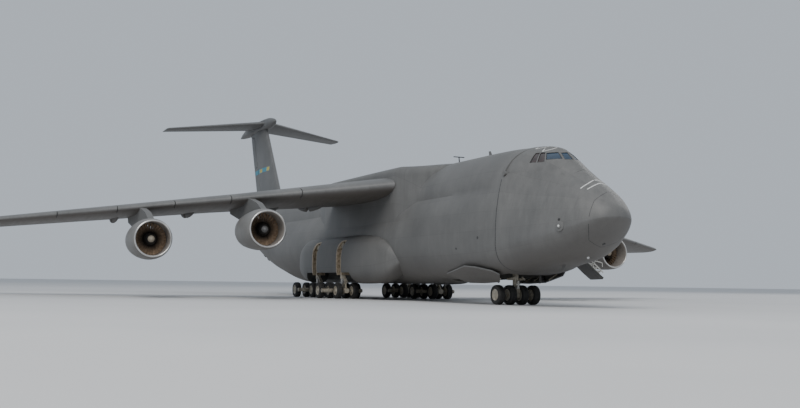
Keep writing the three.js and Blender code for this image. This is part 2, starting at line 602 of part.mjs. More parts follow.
// Aft ramp and the two doors behind it
const seated = rampSide(0).map(([x, z]) => [x - seat, z])
piece('aft_ramp', shellLoft.intersect(prism('xz', seated, -rampHalf, rampHalf)), paint)
const petalInner = bodyLoft(petalFrontX + 1, petalRearX - 1, petalThickness)
const petal = shellLoft.subtract(petalInner).intersect(planPrism(petalPlan)).intersect(below(6))
pair('aft_door', petal.subtract(petalKnuckles.forFixed).add(petalKnuckles.moving), paint)

// Crew door: the skin of its opening, swung out and down on the sill
const doorInner = bodyLoft(3, 0, crewDoor.wall)
const closedDoor = shellLoft.subtract(doorInner).intersect(box(
  crewDoor.rear + running, crewDoor.front - running, 2.5, 5, crewDoor.sill + running, crewDoor.head - running,
)).subtract(crewKnuckles.forFixed).add(crewKnuckles.moving)
const openDoor = piece('crew_door', closedDoor, paint)
const [doorPin, doorPinFront] = crewHinge.map((point) => new THREE.Vector3(...point))
const doorAxis = doorPinFront.sub(doorPin).normalize()
openDoor.geometry.translate(...doorPin.clone().negate().toArray())
openDoor.position.copy(doorPin)
openDoor.quaternion.setFromAxisAngle(doorAxis, -THREE.MathUtils.degToRad(crewDoor.openBy))

// Nose-wheel doors, open: flat plates that lean out under the belly from arms on the sides of the bay. The
// outline is seen from above, the rise is upwards for each metre out.
const noseDoorPlan = [
  [-4, 2.8], [-3.5, 2.27], [-2.7, 1.8], [-1, 1.67], [0.9, 1.67], [1.9, 2.3], [1.6, 2.66], [0.4, 3.1], [-0.7, 3.3],
]
const noseDoorPlate = { x: -1, y: 1.67, z: 1.41, rise: 0.62, tilt: 0.04, thick: 0.08 }
const plateHeight = (x, y) => {
  const { z, rise, tilt } = noseDoorPlate
  return z + rise * (y - noseDoorPlate.y) + tilt * (x - noseDoorPlate.x)
}
const noseDoorSlab = loft([-6, 3].map((x) => [
  [x, 1, plateHeight(x, 1) - noseDoorPlate.thick], [x, 4, plateHeight(x, 4) - noseDoorPlate.thick],
  [x, 4, plateHeight(x, 4)], [x, 1, plateHeight(x, 1)],
]))
const noseDoorArm = { wide: 0.14, inner: 1.5, outer: 1.95, top: 2.2, low: 1.36, bend: 1.56, sunk: 0.07, deep: 0.05 }
const noseDoorArms = [-2.2, 0.4].map((x) => {
  const { wide, inner, outer, top, low, bend, sunk, deep } = noseDoorArm
  const tip = plateHeight(x, outer) - sunk
  return prism('yz', [
    [inner, top], [inner, low], [outer, tip], [outer, tip + deep],
    [noseBay.half - seat, bend], [noseBay.half - seat, top],
  ], x, x + wide)
})
const noseDoor = join(noseDoorSlab.intersect(planPrism(noseDoorPlan)), ...noseDoorArms)
pair('nose_gear_door', noseDoor, paint)

// Sponsons. Columns: station, outer skin, belly and top of the blister.
const sponsonTable = [
  { x: -10.4, out: 3.3, low: 2.6, top: 3.2 },
  { x: -11.6, out: 3.95, low: 1.7, top: 4.1 },
  { x: -13.6, out: 4.3, low: 1.26, top: 4.7 },
  { x: -17, out: 4.42, low: 1.2, top: 4.95 },
  { x: -27.2, out: 4.42, low: 1.2, top: 4.95 },
  { x: -29.6, out: 4.1, low: 1.6, top: 4.5 },
  { x: -31.8, out: 3.4, low: 2.7, top: 3.4 },
]
const sponsonPoints = 16
const sponsonInner = 2.1
const sponson = loft(sponsonTable.map(({ x, out, low, top }) => {
  const [half, rise, middle] = [(out - sponsonInner) / 2, (top - low) / 2, (top + low) / 2]
  return Array.from({ length: sponsonPoints }, (_, i) => {
    const turn = i / sponsonPoints * 2 * Math.PI
    const bulge = (v) => Math.sign(v) * Math.abs(v) ** 0.62
    return [x, sponsonInner + half + half * bulge(Math.cos(turn)), middle + rise * bulge(Math.sin(turn))]
  })
}))
const legX = mainBogieX.map((x) => x - 1.0)
const bayRoof = 2.05
const slot = { half: 0.52, inner: 3.6, top: 4.45 }
let pod = sponson.subtract(bodyLoft(-6, -36.2, -seat))
pod = pod.subtract(prism('xz', [[-28.2, 0.4], [-27, bayRoof], [-17.4, bayRoof], [-16.2, 0.4]], 2.36, 8))
for (const x of legX) pod = pod.subtract(box(x - slot.half, x + slot.half, slot.inner, 8, bayRoof - 0.2, slot.top))
pair('sponson', pod, paint)

// Main legs: a post in the slot, a beam under it, axles and the cross tube ahead of the rear wheels
const axleRadius = 0.09
// The bore for an axle, turned by half a facet, so that the axle's edges lie on the middles of its flats
function axleBore(x, y) {
  const radius = (axleRadius + seat) / Math.cos(Math.PI / wheelSegments)
  const geometry = new THREE.CylinderGeometry(radius, radius, 2, wheelSegments)
  return solid(geometry.rotateY(Math.PI / wheelSegments).translate(x, y, tyreRadius))
}
mainBogieX.forEach((frontX, i) => {
  const rearX = frontX - bogieRearStep
  const tubeX = rearX + 0.83
  let leg = join(
    box(rearX - 0.2, frontX + 0.2, mainBogieY - 0.17, mainBogieY + 0.17, tyreRadius - 0.17, tyreRadius + 0.17),
    rod([tubeX, mainBogieY - 1.72, tyreRadius], [tubeX, mainBogieY + 1.72, tyreRadius], 0.16, 12),
    rod([legX[i], mainBogieY - 0.25, 4.2], [tubeX + 0.1, mainBogieY, tyreRadius], 0.17, 12),
    box(legX[i] - slot.half + seat, legX[i] + slot.half - seat, slot.inner + seat, 4.2, 4.0, 4.4),
  )
  for (const x of [frontX, rearX]) leg = leg.subtract(axleBore(x, mainBogieY))
  pair(`${['forward', 'aft'][i]}_main_leg`, leg, gearPaint)
})

// Wheels: every axle and its tyres are one piece
function wheelSet(x, middleY, tyres) {
  const half = tyreWidth / 2
  const shoulder = { in: 0.05, across: 0.09 }
  const profile = [[0, tyres[0] - half]]
  tyres.forEach((y, i) => {
    if (i > 0) profile.push([axleRadius, y - half])
    profile.push([tyreRadius - shoulder.in, y - half], [tyreRadius, y - half + shoulder.across])
    profile.push([tyreRadius, y + half - shoulder.across], [tyreRadius - shoulder.in, y + half])
    if (i + 1 < tyres.length) profile.push([axleRadius, y + half])
  })
  profile.push([0, tyres[tyres.length - 1] + half])
  return turned(profile, 'y', [x, middleY, tyreRadius], wheelSegments)
}
const both = (list) => [...list.map((y) => -y).reverse(), ...list]
mainBogieX.forEach((frontX, i) => {
  const place = ['forward', 'aft'][i]
  pair(`${place}_main_wheels_front`, wheelSet(frontX, mainBogieY, both([bogieWheelsY[0]])), rubber)
  pair(`${place}_main_wheels_rear`, wheelSet(frontX - bogieRearStep, mainBogieY, both(bogieWheelsY)), rubber)
})
piece('nose_wheels', wheelSet(0, 0, both(noseWheelsY)), rubber)
const noseLegTop = noseBay.roof - seat
const noseLeg = join(
  rod([0, 0, tyreRadius], [0, 0, noseLegTop], 0.15, 16),
  box(-0.17, 0.17, -0.19, 0.19, tyreRadius - 0.17, tyreRadius + 0.3),
).subtract(axleBore(0, 0))
piece('nose_leg', noseLeg, gearPaint)

// Tail. Columns: height, leading edge, trailing edge.
const finTable = [
  { z: 9.3, front: -47.6, back: -56.5, ratio: 0.12 },
  { z: 18.6 - seat, front: -54.1, back: -60.35, ratio: 0.12 },
]
const finRing = ({ z, front, back, ratio }) => foil(ratio).map(([f, h]) => [
  front - f * (front - back), h * (front - back), z,
])
const wholeFin = loft(finTable.map(finRing))
const finPoint = (z, fraction) => {
  const t = (z - finTable[0].z) / (finTable[1].z - finTable[0].z)
  const front = finTable[0].front + t * (finTable[1].front - finTable[0].front)
  const back = finTable[0].back + t * (finTable[1].back - finTable[0].back)
  return [front - fraction * (front - back), 0, z]
}
const rudderHinge = [finPoint(10.9, 0.7), finPoint(18.1, 0.7)]
piece('rudder', wholeFin.intersect(hingeWedge(...rudderHinge, [0, 1, 0], 0.8, 5)), paint)
const finAlone = wholeFin.subtract(hingeCut(...rudderHinge, [0, 1, 0], 0.8, 5))
piece('fin', finAlone.subtract(bodyLoft(-40, -59.7, -seat)), paint)

// Bullet at the top of the fin, flat below for the fin and at its sides for the stabiliser
const bulletTable = [
  { x: -51, z: 19.17, r: 0.07 }, { x: -51.7, z: 19.17, r: 0.36 }, { x: -53.2, z: 19.18, r: 0.6 },
  { x: -56, z: tailTop - 0.66, r: 0.66 }, { x: -60.5, z: 19.12, r: 0.58 }, { x: -63.4, z: 18.98, r: 0.3 },
  { x: bulletRearX, z: 18.9, r: 0.06 },
]
const bulletSide = 0.5
const bullet = loft(bulletTable.map(({ x, z, r }) => Array.from({ length: 16 }, (_, i) => {
  const turn = i / 16 * 2 * Math.PI
  return [x, r * Math.sin(turn), z + r * Math.cos(turn)]
}))).intersect(box(-70, -40, -bulletSide, bulletSide, 18.6, 25))
piece('bullet', bullet, paint)
// Columns: distance out, leading edge, trailing edge, height.
const stabiliserTable = [
  { y: bulletSide + seat, front: -53.6, back: -60.3, z: 19.22, ratio: 0.1 },
  { y: tailHalfSpan, front: -58.2, back: -61.1, z: 18.45, ratio: 0.1 },
]
const wholeStabiliser = loft(stabiliserTable.map(({ y, front, back, z, ratio }) => foil(ratio).map(([f, h]) => [
  front - f * (front - back), y, z + h * (front - back),
])))
const stabiliserPoint = (y, fraction) => {
  const [a, b] = stabiliserTable
  const t = (y - a.y) / (b.y - a.y)
  const at = (row) => row.front - fraction * (row.front - row.back)
  return [at(a) + t * (at(b) - at(a)), y, a.z + t * (b.z - a.z)]
}
const elevatorHinge = [stabiliserPoint(0.95, 0.7), stabiliserPoint(10.1, 0.7)]
pair('elevator', wholeStabiliser.intersect(hingeWedge(...elevatorHinge, up, 0.4, 4)), paint)
pair('stabiliser', wholeStabiliser.subtract(hingeCut(...elevatorHinge, up, 0.4, 4)), paint)

export default aircraft
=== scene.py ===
import bpy
import bmesh
import math
import numpy as np
from mathutils import Matrix, Vector
from mathutils.bvhtree import BVHTree


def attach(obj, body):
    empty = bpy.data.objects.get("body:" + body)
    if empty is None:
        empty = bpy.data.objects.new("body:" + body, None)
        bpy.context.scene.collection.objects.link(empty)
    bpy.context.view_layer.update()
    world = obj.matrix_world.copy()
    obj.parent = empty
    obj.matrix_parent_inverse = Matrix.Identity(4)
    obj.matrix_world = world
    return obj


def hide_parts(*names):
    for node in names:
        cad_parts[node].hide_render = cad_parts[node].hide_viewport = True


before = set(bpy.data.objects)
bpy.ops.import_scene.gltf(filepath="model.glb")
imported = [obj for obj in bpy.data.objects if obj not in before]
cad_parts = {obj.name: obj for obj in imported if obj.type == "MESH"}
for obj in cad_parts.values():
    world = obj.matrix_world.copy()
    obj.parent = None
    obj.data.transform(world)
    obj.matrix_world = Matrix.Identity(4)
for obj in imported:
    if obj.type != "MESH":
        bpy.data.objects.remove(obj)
for spare in ("Cube", "Light", "Camera"):
    if spare in bpy.data.objects:
        bpy.data.objects.remove(bpy.data.objects[spare])
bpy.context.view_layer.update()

# Camera. It stands low on the apron off the starboard bow, a little above the height of the tyres, and looks
# slightly up along the fuselage with a lens a bit longer than normal.
camera = bpy.data.objects.new("camera", bpy.data.cameras.new("camera"))
bpy.context.scene.collection.objects.link(camera)
camera.data.sensor_width = 36
camera.data.lens = 44.26
camera.data.clip_start = 0.5
camera.data.clip_end = 4000
yaw, pitch, roll = 0.4332, 0.0806, 0.0136
ahead = Vector((-math.cos(yaw) * math.cos(pitch), math.sin(yaw) * math.cos(pitch), math.sin(pitch)))
level = ahead.cross(Vector((0, 0, 1))).normalized()
upright = level.cross(ahead)
across = level * math.cos(roll) + upright * math.sin(roll)
over = upright * math.cos(roll) - level * math.sin(roll)
camera.matrix_world = Matrix.Translation((40.336, -16.44, 0.624)) @ Matrix((across, over, -ahead)).transposed().to_4x4()
bpy.context.scene.camera = camera

# Studio floor. One wide pale disc under the wheels, large enough to run to the horizon in every view. Its
# finish is a faintly mottled matt grey.
def feed(tree, node, feeds):
    for key, value in feeds.items():
        if isinstance(value, bpy.types.NodeSocket):
            tree.links.new(value, node.inputs[key])
        else:
            node.inputs[key].default_value = value


def shade(tree, kind, feeds=None, **settings):
    made = tree.nodes.new("ShaderNode" + kind)
    for key, value in settings.items():
        setattr(made, key, value)
    feed(tree, made, feeds or {})
    return made


def ramp(tree, factor, stops):
    made = shade(tree, "ValToRGB", {"Fac": factor})
    marks = made.color_ramp.elements
    while len(marks) < len(stops):
        marks.new(0.5)
    for mark, (place, tone) in zip(marks, stops):
        mark.position = place
        mark.color = (tone, tone, tone, 1) if isinstance(tone, (int, float)) else (*tone, 1)
    return made.outputs["Color"]


def new_material(name):
    made = bpy.data.materials.new(name)
    made.use_nodes = True
    tree = made.node_tree
    tree.nodes.clear()
    shader = shade(tree, "BsdfPrincipled")
    shade(tree, "OutputMaterial", {"Surface": shader.outputs[0]})
    return made, tree, shader, shade(tree, "TexCoord").outputs["Object"]


def noise(tree, place, scale, detail, roughness=0.5):
    return shade(tree, "TexNoise", {"Vector": place, "Scale": scale, "Detail": detail,
                                    "Roughness": roughness}).outputs["Fac"]


floor_finish, tree, shader, place = new_material("floor_matt")
mottle = ramp(tree, noise(tree, place, 0.12, 5.0), [(0.3, (0.58, 0.585, 0.59)), (0.7, (0.64, 0.64, 0.64))])
feed(tree, shader, {"Base Color": mottle, "Roughness": 0.9})
floor_radius = 1500
floor_mesh = bpy.data.meshes.new("floor")
floor_turns = [i * math.pi / 32 for i in range(64)]
floor_edge = [(floor_radius * math.cos(turn), floor_radius * math.sin(turn), 0) for turn in floor_turns]
floor_mesh.from_pydata(floor_edge, [], [tuple(range(64))])
floor = bpy.data.objects.new("floor", floor_mesh)
bpy.context.scene.collection.objects.link(floor)
floor_mesh.materials.append(floor_finish)

# Studio light. An even pale sky all round and two very large soft panels, one high over the bow on the
# camera's side and a weaker one from port.
world = bpy.data.worlds.new("studio_sky")
bpy.context.scene.world = world
world.use_nodes = True
feed(world.node_tree, world.node_tree.nodes["Background"], {"Color": (0.72, 0.79, 0.88, 1), "Strength": 0.7})
# Columns: name, place, watts, side of the square panel.
for name, place, power, size in [("key_panel", (52, -38, 62), 40000, 46), ("port_panel", (-10, 70, 48), 15000, 50)]:
    panel = bpy.data.objects.new(name, bpy.data.lights.new(name, "AREA"))
    bpy.context.scene.collection.objects.link(panel)
    panel.data.energy = power
    panel.data.size = size
    panel.data.color = (1, 0.97, 0.93)
    panel.location = place
    panel.rotation_euler = (Vector((2, 0, 2)) - Vector(place)).to_track_quat("-Z", "Y").to_euler()
    panel.visible_camera = False


# Fuselage shell. The real one is riveted sheet over frames, two lobes that meet in a crease along each side,
# in weathered grey paint. It is drawn as one fine skin from a table of stations, and the hold, the flight
# deck, the wheel bay, the doorway and the windows are cut out of it. All lengths are full-size metres.
# Columns: station, belly, widest height, half width, crease height, crease half width, crown, squareness.
body_rows = [
    (10.6, 5.0, 5.03, 0.06, 5.06, 0.05, 5.1, 2), (10.57, 4.93, 5.03, 0.36, 5.09, 0.32, 5.3, 2),
    (10.5, 4.83, 5.02, 0.62, 5.13, 0.56, 5.5, 2), (10.35, 4.7, 5, 0.93, 5.2, 0.85, 5.7, 2),
    (9.75, 4.05, 4.93, 1.46, 5.46, 1.26, 6.31, 2), (9.3, 3.66, 4.85, 1.75, 5.67, 1.43, 6.64, 2.05),
    (8.75, 3.3, 4.75, 2, 5.9, 1.57, 6.98, 2.1), (8.1, 2.97, 4.66, 2.25, 6.14, 1.68, 7.38, 2.25),
    (7.35, 2.72, 4.58, 2.44, 6.4, 1.76, 7.85, 2.4), (6.6, 2.58, 4.52, 2.6, 6.7, 1.8, 8.41, 2.6),
    (5.35, 2.43, 4.45, 2.8, 6.95, 1.96, 9.27, 2.9), (4, 2.23, 4.45, 2.98, 7.03, 2.42, 9.6, 3.2),
    (2.8, 1.98, 4.45, 3.14, 7.05, 2.82, 9.7, 3.5), (-2, 1.58, 4.45, 3.42, 7.05, 2.78, 9.8, 3.2),
    (-6, 1.44, 4.45, 3.52, 7.05, 2.65, 9.8, 3), (-14, 1.24, 4.45, 3.57, 7.05, 2.5, 9.8, 2.5),
    (-36.2, 1.24, 4.45, 3.57, 7.05, 2.5, 9.8, 2), (-41.5, 2, 4.9, 3.42, 7.15, 2.45, 9.8, 2),
    (-47.1, 3.3, 5.75, 2.95, 7.4, 2.3, 9.76, 2), (-51.8, 4.8, 6.65, 2.25, 7.75, 1.9, 9.66, 2),
    (-55.6, 6.15, 7.35, 1.5, 8, 1.35, 9.5, 2), (-59.2, 7.5, 8.2, 0.62, 8.43, 0.57, 9.17, 2),
    (-59.7, 7.9, 8.3, 0.3, 8.46, 0.28, 8.95, 2),
]
# Gap of a seated joint, gap round a moving piece, and the station of the joint behind the visor.
seat, running, visor_joint = 0.0006, 0.02, 2.8
model_scale, model_shift = 0.5, 13.575


def spot(x, y, z):
    return Vector((x * model_scale + model_shift, y * model_scale, z * model_scale))


def full_size(point):
    return (point.x - model_shift) * 2, point.y * 2, point.z * 2


def curve_through(rows):
    table = np.array(sorted(rows), dtype=float)
    places, values = table[:, 0], table[:, 1:]
    step = np.diff(places)
    rise = np.diff(values, axis=0) / step[:, None]
    slope = np.zeros_like(values)
    slope[0], slope[-1] = rise[0], rise[-1]
    before, after = rise[:-1], rise[1:]
    alike = before * after > 0
    weights = (2 * step[1:] + step[:-1])[:, None], (step[1:] + 2 * step[:-1])[:, None]
    safe_before, safe_after = np.where(alike, before, 1), np.where(alike, after, 1)
    slope[1:-1] = np.where(alike, sum(weights) / (weights[0] / safe_before + weights[1] / safe_after), 0)

    def at(place):
        i = int(min(max(np.searchsorted(places, place) - 1, 0), len(places) - 2))
        t = (place - places[i]) / step[i]
        return ((1 + 2 * t) * (1 - t) ** 2 * values[i] + t * (1 - t) ** 2 * step[i] * slope[i]
                + t * t * (3 - 2 * t) * values[i + 1] + t * t * (t - 1) * step[i] * slope[i + 1])
    return at


body_at = curve_through(body_rows)


def body_ring(x, inset=0.0, narrow=1.0):
    belly, wide, half, crease, crease_half, crown, square = body_at(x)
    rise = (crease - wide) / math.sqrt(1 - (crease_half / half) ** 2)
    belly, half_in, crease_in, crown = belly + inset, half - inset, crease_half - inset, crown - inset
    turn_end = math.acos(min(crease_in / half_in, 0.999))
    port = []
    for i in range(1, 31):
        turn = (i / 30 - 1) * math.pi / 2
        power = 2 / square
        port.append((half_in * max(math.cos(turn), 0) ** power,
                     wide - (wide - belly) * max(-math.sin(turn), 0) ** power))
    for i in range(1, 13):
        turn = turn_end * i / 12
        port.append((half_in * math.cos(turn), wide + (rise - inset) * math.sin(turn)))
    crease_z = port[-1][1]
    for i in range(1, 22):
        turn = i / 22 * math.pi / 2
        port.append((crease_in * math.cos(turn), crease_z + (crown - crease_z) * math.sin(turn)))
    fade = min(max((x - 1.5) / 4, 0), 1)
    for _ in range(90 if fade else 0):
        near = [(0, belly)] + port + [(0, crown)]
        port = [tuple(p[k] + fade * 0.5 * (before[k] / 2 + after[k] / 2 - p[k]) for k in (0, 1)) if 26 < i < 62 else p
                for i, (before, p, after) in enumerate(zip(near, port, near[2:]))]
    ring = [(0, belly)] + port + [(0, crown)] + [(-y, z) for y, z in reversed(port)]
    return [(x, y * narrow, z) for y, z in ring]


def new_piece(name, mesh):
    made = bpy.data.objects.new(name, mesh)
    bpy.context.scene.collection.objects.link(made)
    return made


def loft(name, rings, place=spot):
    count = len(rings[0])
    faces = [(r * count + i, r * count + (i + 1) % count, (r + 1) * count + (i + 1) % count, (r + 1) * count + i)
             for r in range(len(rings) - 1) for i in range(count)]
    faces += [tuple(reversed(range(count))), tuple(range((len(rings) - 1) * count, len(rings) * count))]
    mesh = bpy.data.meshes.new(name)
    mesh.from_pydata([place(*point) for ring in rings for point in ring], [], faces)
    shape = bmesh.new()
    shape.from_mesh(mesh)
    bmesh.ops.recalc_face_normals(shape, faces=shape.faces)
    shape.to_mesh(mesh)
    shape.free()
    return new_piece(name, mesh)


def body_loft(front, rear, inset=0.0, narrow=1.0, pitch_m=0.4):
    stations = [row[0] for row in body_rows if rear + 0.05 < row[0] < front - 0.05] + [front, rear]
    count = max(2, round((front - rear) / pitch_m))
    filled = sorted({round(front + (rear - front) * i / count, 4) for i in range(count + 1)} | set(stations))
    kept = [filled[0]]
    for x in filled[1:]:
        if x - kept[-1] > 0.02:
            kept.append(x)
    kept[-1] = front
    return loft("body", [body_ring(x, inset, narrow) for x in kept])


def box(x0, x1, y0, y1, z0, z1):
    return loft("box", [[(x, y0, z0), (x, y1, z0), (x, y1, z1), (x, y0, z1)] for x in (x0, x1)])


def prism(plane, outline, start, end):
    order = {"xy": lambda a, b, c: (a, b, c), "xz": lambda a, b, c: (a, c, b), "yz": lambda a, b, c: (c, a, b)}[plane]
    return loft("prism", [[order(a, b, c) for a, b in outline] for c in (start, end)])


def rod(start, end, radius, sides=24, tip=None):
    start, end = Vector(start), Vector(end)
    along = (end - start).normalized()
    side = along.cross(Vector((0, 0, 1) if abs(along.z) < 0.9 else (1, 0, 0))).normalized()
    other = along.cross(side)
    return loft("rod", [[tuple(centre + r * (side * math.cos(i * 2 * math.pi / sides)
                                             + other * math.sin(i * 2 * math.pi / sides))) for i in range(sides)]
                        for centre, r in ((start, radius), (end, radius if tip is None else tip))])


def combine(target, tools, how="DIFFERENCE"):
    for tool in tools:
        change = target.modifiers.new("cut", "BOOLEAN")
        change.solver = "MANIFOLD"
        change.operation = how
        change.object = tool
    made = bpy.data.meshes.new_from_object(target.evaluated_get(bpy.context.evaluated_depsgraph_get()))
    if not len(made.polygons):
        raise ValueError("nothing left of " + target.name)
    target.modifiers.clear()
    target.data = made
    for tool in tools:
        bpy.data.objects.remove(tool)
    return target


def finish_piece(piece, name, materials, body, replaced=(), sharp=28):
    piece.name = name
    piece.data.name = name
    marks = [face.material_index for face in piece.data.polygons]
    piece.data.materials.clear()
    for material in materials:
        piece.data.materials.append(material)
    piece.data.polygons.foreach_set("material_index", [min(mark, len(materials) - 1) for mark in marks])
    piece.data.shade_smooth()
    piece.data.set_sharp_from_angle(angle=math.radians(sharp))
    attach(piece, body)
    if replaced:
        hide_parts(*replaced)
    return piece


def skin_finish(name, light, dark, panels, streak=(1.2, 1.2, 0.12), roughness=0.5, underside_shade=0.55, around=True):
    made, tree, shader, place = new_material(name)
    apart = shade(tree, "SeparateXYZ", {"Vector": place})
    if around:
        turn = shade(tree, "Math", {0: apart.outputs["Y"], 1: shade(
            tree, "Math", {0: apart.outputs["Z"], 1: 2.6}, operation="SUBTRACT").outputs[0]}, operation="ARCTAN2")
        second = shade(tree, "Math", {0: turn.outputs[0], 1: 1.75}, operation="MULTIPLY").outputs[0]
        plan = shade(tree, "CombineXYZ", {"X": apart.outputs["X"], "Y": second}).outputs[0]
    else:
        plan = shade(tree, "CombineXYZ", {"X": apart.outputs["Y"], "Y": apart.outputs["X"]}).outputs[0]
    sheets = shade(tree, "TexBrick", {
        "Vector": plan, "Color1": (0.93, 0.93, 0.93, 1), "Color2": (1.03, 1.03, 1.02, 1),
        "Mortar": (0.74, 0.73, 0.72, 1), "Scale": 1.0, "Mortar Size": 0.0045, "Mortar Smooth": 0.3,
        "Brick Width": panels[0], "Row Height": panels[1]})
    tone = ramp(tree, noise(tree, place, 0.55, 6.0, 0.6), [(0.3, dark), (0.68, light)])
    stretched = shade(tree, "Mapping", {"Vector": place, "Scale": streak})
    runs = noise(tree, stretched.outputs[0], 5.0, 8.0, 0.65)
    run_tone = ramp(tree, runs, [(0.36, 0.8), (0.62, 1.04)])
    speckle = noise(tree, place, 45.0, 4.0)
    for layer, strength in ((sheets.outputs["Color"], 0.8), (run_tone, 0.6),
                            (ramp(tree, speckle, [(0.35, 0.9), (0.65, 1.05)]), 0.5)):
        tone = shade(tree, "MixRGB", {"Fac": strength, "Color1": tone, "Color2": layer},
                     blend_type="MULTIPLY").outputs["Color"]
    # Faces that look down are mixed towards a dark brown: painted shade on the undersides of the body, wings, cowls and
    # tail.
    facing = shade(tree, "SeparateXYZ", {"Vector": shade(tree, "NewGeometry").outputs["Normal"]})
    low = shade(tree, "MapRange", {"Value": facing.outputs["Z"], "From Min": -0.1, "From Max": -0.95,
                                   "To Min": 0.0, "To Max": underside_shade})
    underside_shade_tone = shade(tree, "MixRGB", {"Fac": low.outputs[0], "Color1": tone, "Color2": (0.1, 0.085, 0.072, 1)})
    rough = shade(tree, "MapRange", {"Value": runs, "To Min": roughness - 0.12, "To Max": roughness + 0.2})
    grain = shade(tree, "MixRGB", {"Fac": 0.85, "Color1": speckle, "Color2": sheets.outputs["Color"]})
    bump = shade(tree, "Bump", {"Strength": 0.28, "Distance": 0.004, "Height": grain.outputs["Color"]})
    feed(tree, shader, {"Base Color": underside_shade_tone.outputs["Color"], "Roughness": rough.outputs[0],
                        "Normal": bump.outputs[0]})
    return made


body_paint = skin_finish("weathered_grey", (0.17, 0.168, 0.163), (0.125, 0.125, 0.122), (2.4, 0.62))


def worn(name, stops, scale, detail, rough, grain=0.5, bump=0.0, metallic=0.0, bump_scale=None):
    made, tree, shader, place = new_material(name)
    cloud = noise(tree, place, scale, detail, grain)
    feed(tree, shader, {
        "Base Color": ramp(tree, cloud, stops), "Metallic": metallic,
        "Roughness": shade(tree, "MapRange", {"Value": cloud, "To Min": rough[0], "To Max": rough[1]}).outputs[0]})
    if bump:
        height = noise(tree, place, bump_scale, 3.0) if bump_scale else cloud
        lumps = shade(tree, "Bump", {"Strength": bump, "Distance": 0.002, "Height": height})
        feed(tree, shader, {"Normal": lumps.outputs[0]})
    return made


# Near-black finish for the inside of the skin, seen through openings, bays and doorways: painted shade of the dark
# interior. The wheels' brake packs also take it as their own dark colour.
inner_shade_and_brake_finish = worn("inner_shade_and_brake_dark", [(0.35, (0.045, 0.045, 0.04)), (0.7, (0.1, 0.098, 0.085))], 3.0, 7.0,
                    (0.5, 0.85))
known_sides = {}


def is_inside(x, y, z, depth):
    key = round(x * 10)
    if key not in known_sides:
        side = np.array([(ring_y, ring_z) for _, ring_y, ring_z in body_ring(key / 10) if ring_y >= 0][:65])
        known_sides[key] = side[:, 1], side[:, 0]
    heights, widths = known_sides[key]
    return all(abs(y) < np.interp(z + step, heights, widths, left=0, right=0) - depth for step in (-depth, 0, depth))


deck_slim = 0.955


# Faces inside the skin take the piece's second material, mostly the painted shade of the interior.
def line_inside(piece, depth=0.03, fronts=12.0):
    for face in piece.data.polygons:
        x, y, z = full_size(face.center)
        slim = deck_slim if x > visor_joint and z > 7.4 and fronts > 11 else 1
        joint_face = abs(x - visor_joint) < 0.05 and abs(face.normal.x) > 0.95
        if -59 < x < fronts and not joint_face and is_inside(x, y / slim, z, depth):
            face.material_index = 1


def plan_prism(outline, bottom=0, top=20):
    return prism("xy", outline, bottom, top)


def knuckles(start, end, places, width, radius):
    start, end = Vector(start), Vector(end)
    along = (end - start).normalized()

    def barrels(first, last, size):
        return [rod(start + along * (p + first), start + along * (p + last), size) for p in places]
    spans = {"fixed": (0, width, radius), "moving": (width + seat, 2 * width, radius),
             "for_fixed": (-running / 2, width + seat, radius + running / 2),
             "for_moving": (width, 2 * width + running / 2, radius + running / 2)}
    return lambda part: barrels(*spans[part])


def straight_skin(x, y, rows=((-41.5, 2, 4.9, 3.42), (-47.1, 3.3, 5.75, 2.95), (-51.8, 4.8, 6.65, 2.25))):
    for (xa, *a), (xb, *b) in zip(rows, rows[1:]):
        if xb <= x <= xa:
            t = (xa - x) / (xa - xb)
            belly, wide, half = (p + t * (q - p) for p, q in zip(a, b))
            return wide - (wide - belly) * math.sqrt(1 - (y / half) ** 2)


ramp_front, ramp_rear = -36.2, -41.6
petal_front, petal_rear = ramp_rear - 0.04, -50.2
petal_hinge = [(x, y, straight_skin(x, y) - 0.21) for x, y in ((petal_front, 2.21), (petal_rear, 1.56))]
crew_hinge = [(1.2, 3.157242, 3.1), (2.6, 3.06942, 3.1)]


def deck_cut(front, rear, inset, floor_z):
    return combine(body_loft(front, rear, inset, deck_slim), [box(-80, 20, -40, 40, floor_z, 60)], "INTERSECT")


shell = body_loft(visor_joint, -59.7)
# The low fairing over the wing's centre box. Columns: station, half width, bottom, top, edge radius.
fairing_at = curve_through([(-6.5, 0.6, 8.8, 9.74, 0.2), (-7.5, 1.6, 7.6, 9.78, 0.55), (-9, 2.5, 6.6, 9.83, 0.9),
                            (-10.4, 3.02, 5.9, 9.88, 0.9), (-11.6, 3.339, 5.4, 9.92, 0.7), (-24.6, 3.339, 5.3, 9.9, 0.6),
                            (-27.5, 2.9, 6.1, 9.84, 0.9), (-30.5, 1.9, 7.3, 9.78, 0.7), (-32.5, 0.5, 8.8, 9.74, 0.2)])
fairing_rings = []
for x in [-6.5 - 0.25 * i for i in range(21)] + [-13, -16, -19, -22, -24.6] + [-25 - 0.4 * i for i in range(19)]:
    half, low, top, edge = fairing_at(x)
    corner = []
    for i in range(9):
        turn = i * math.pi / 16
        corner.append((half - edge + edge * math.cos(turn), top - 0.14 - edge * 0.8 + edge * 0.8 * math.sin(turn)))
    port = [(half, low)] + corner + [(half * 0.5 * (1 - t / 4), top - 0.07 + 0.07 * (t / 4)) for t in range(4)]
    fairing_rings.append([(x, y, z) for y, z in port] + [(x, 0, top)] + [(x, -y, z) for y, z in reversed(port)])
barrels = {
    "left": knuckles(*petal_hinge, (4.4, 6.2), 0.3, 0.1),
    "right": knuckles(*[(x, -y, z) for x, y, z in petal_hinge], (4.4, 6.2), 0.3, 0.1),
    "crew": knuckles(*crew_hinge, (0.15, 0.95), 0.15, 0.08),
    "nose_ramp": knuckles((3.07, -1.8, 2.5), (3.07, 1.8, 2.5), (0.1, 2.9), 0.3, 0.08),
}
combine(shell, [deck_cut(7.35, 2.2, 0, 7.48), loft("fairing", fairing_rings)], "UNION")
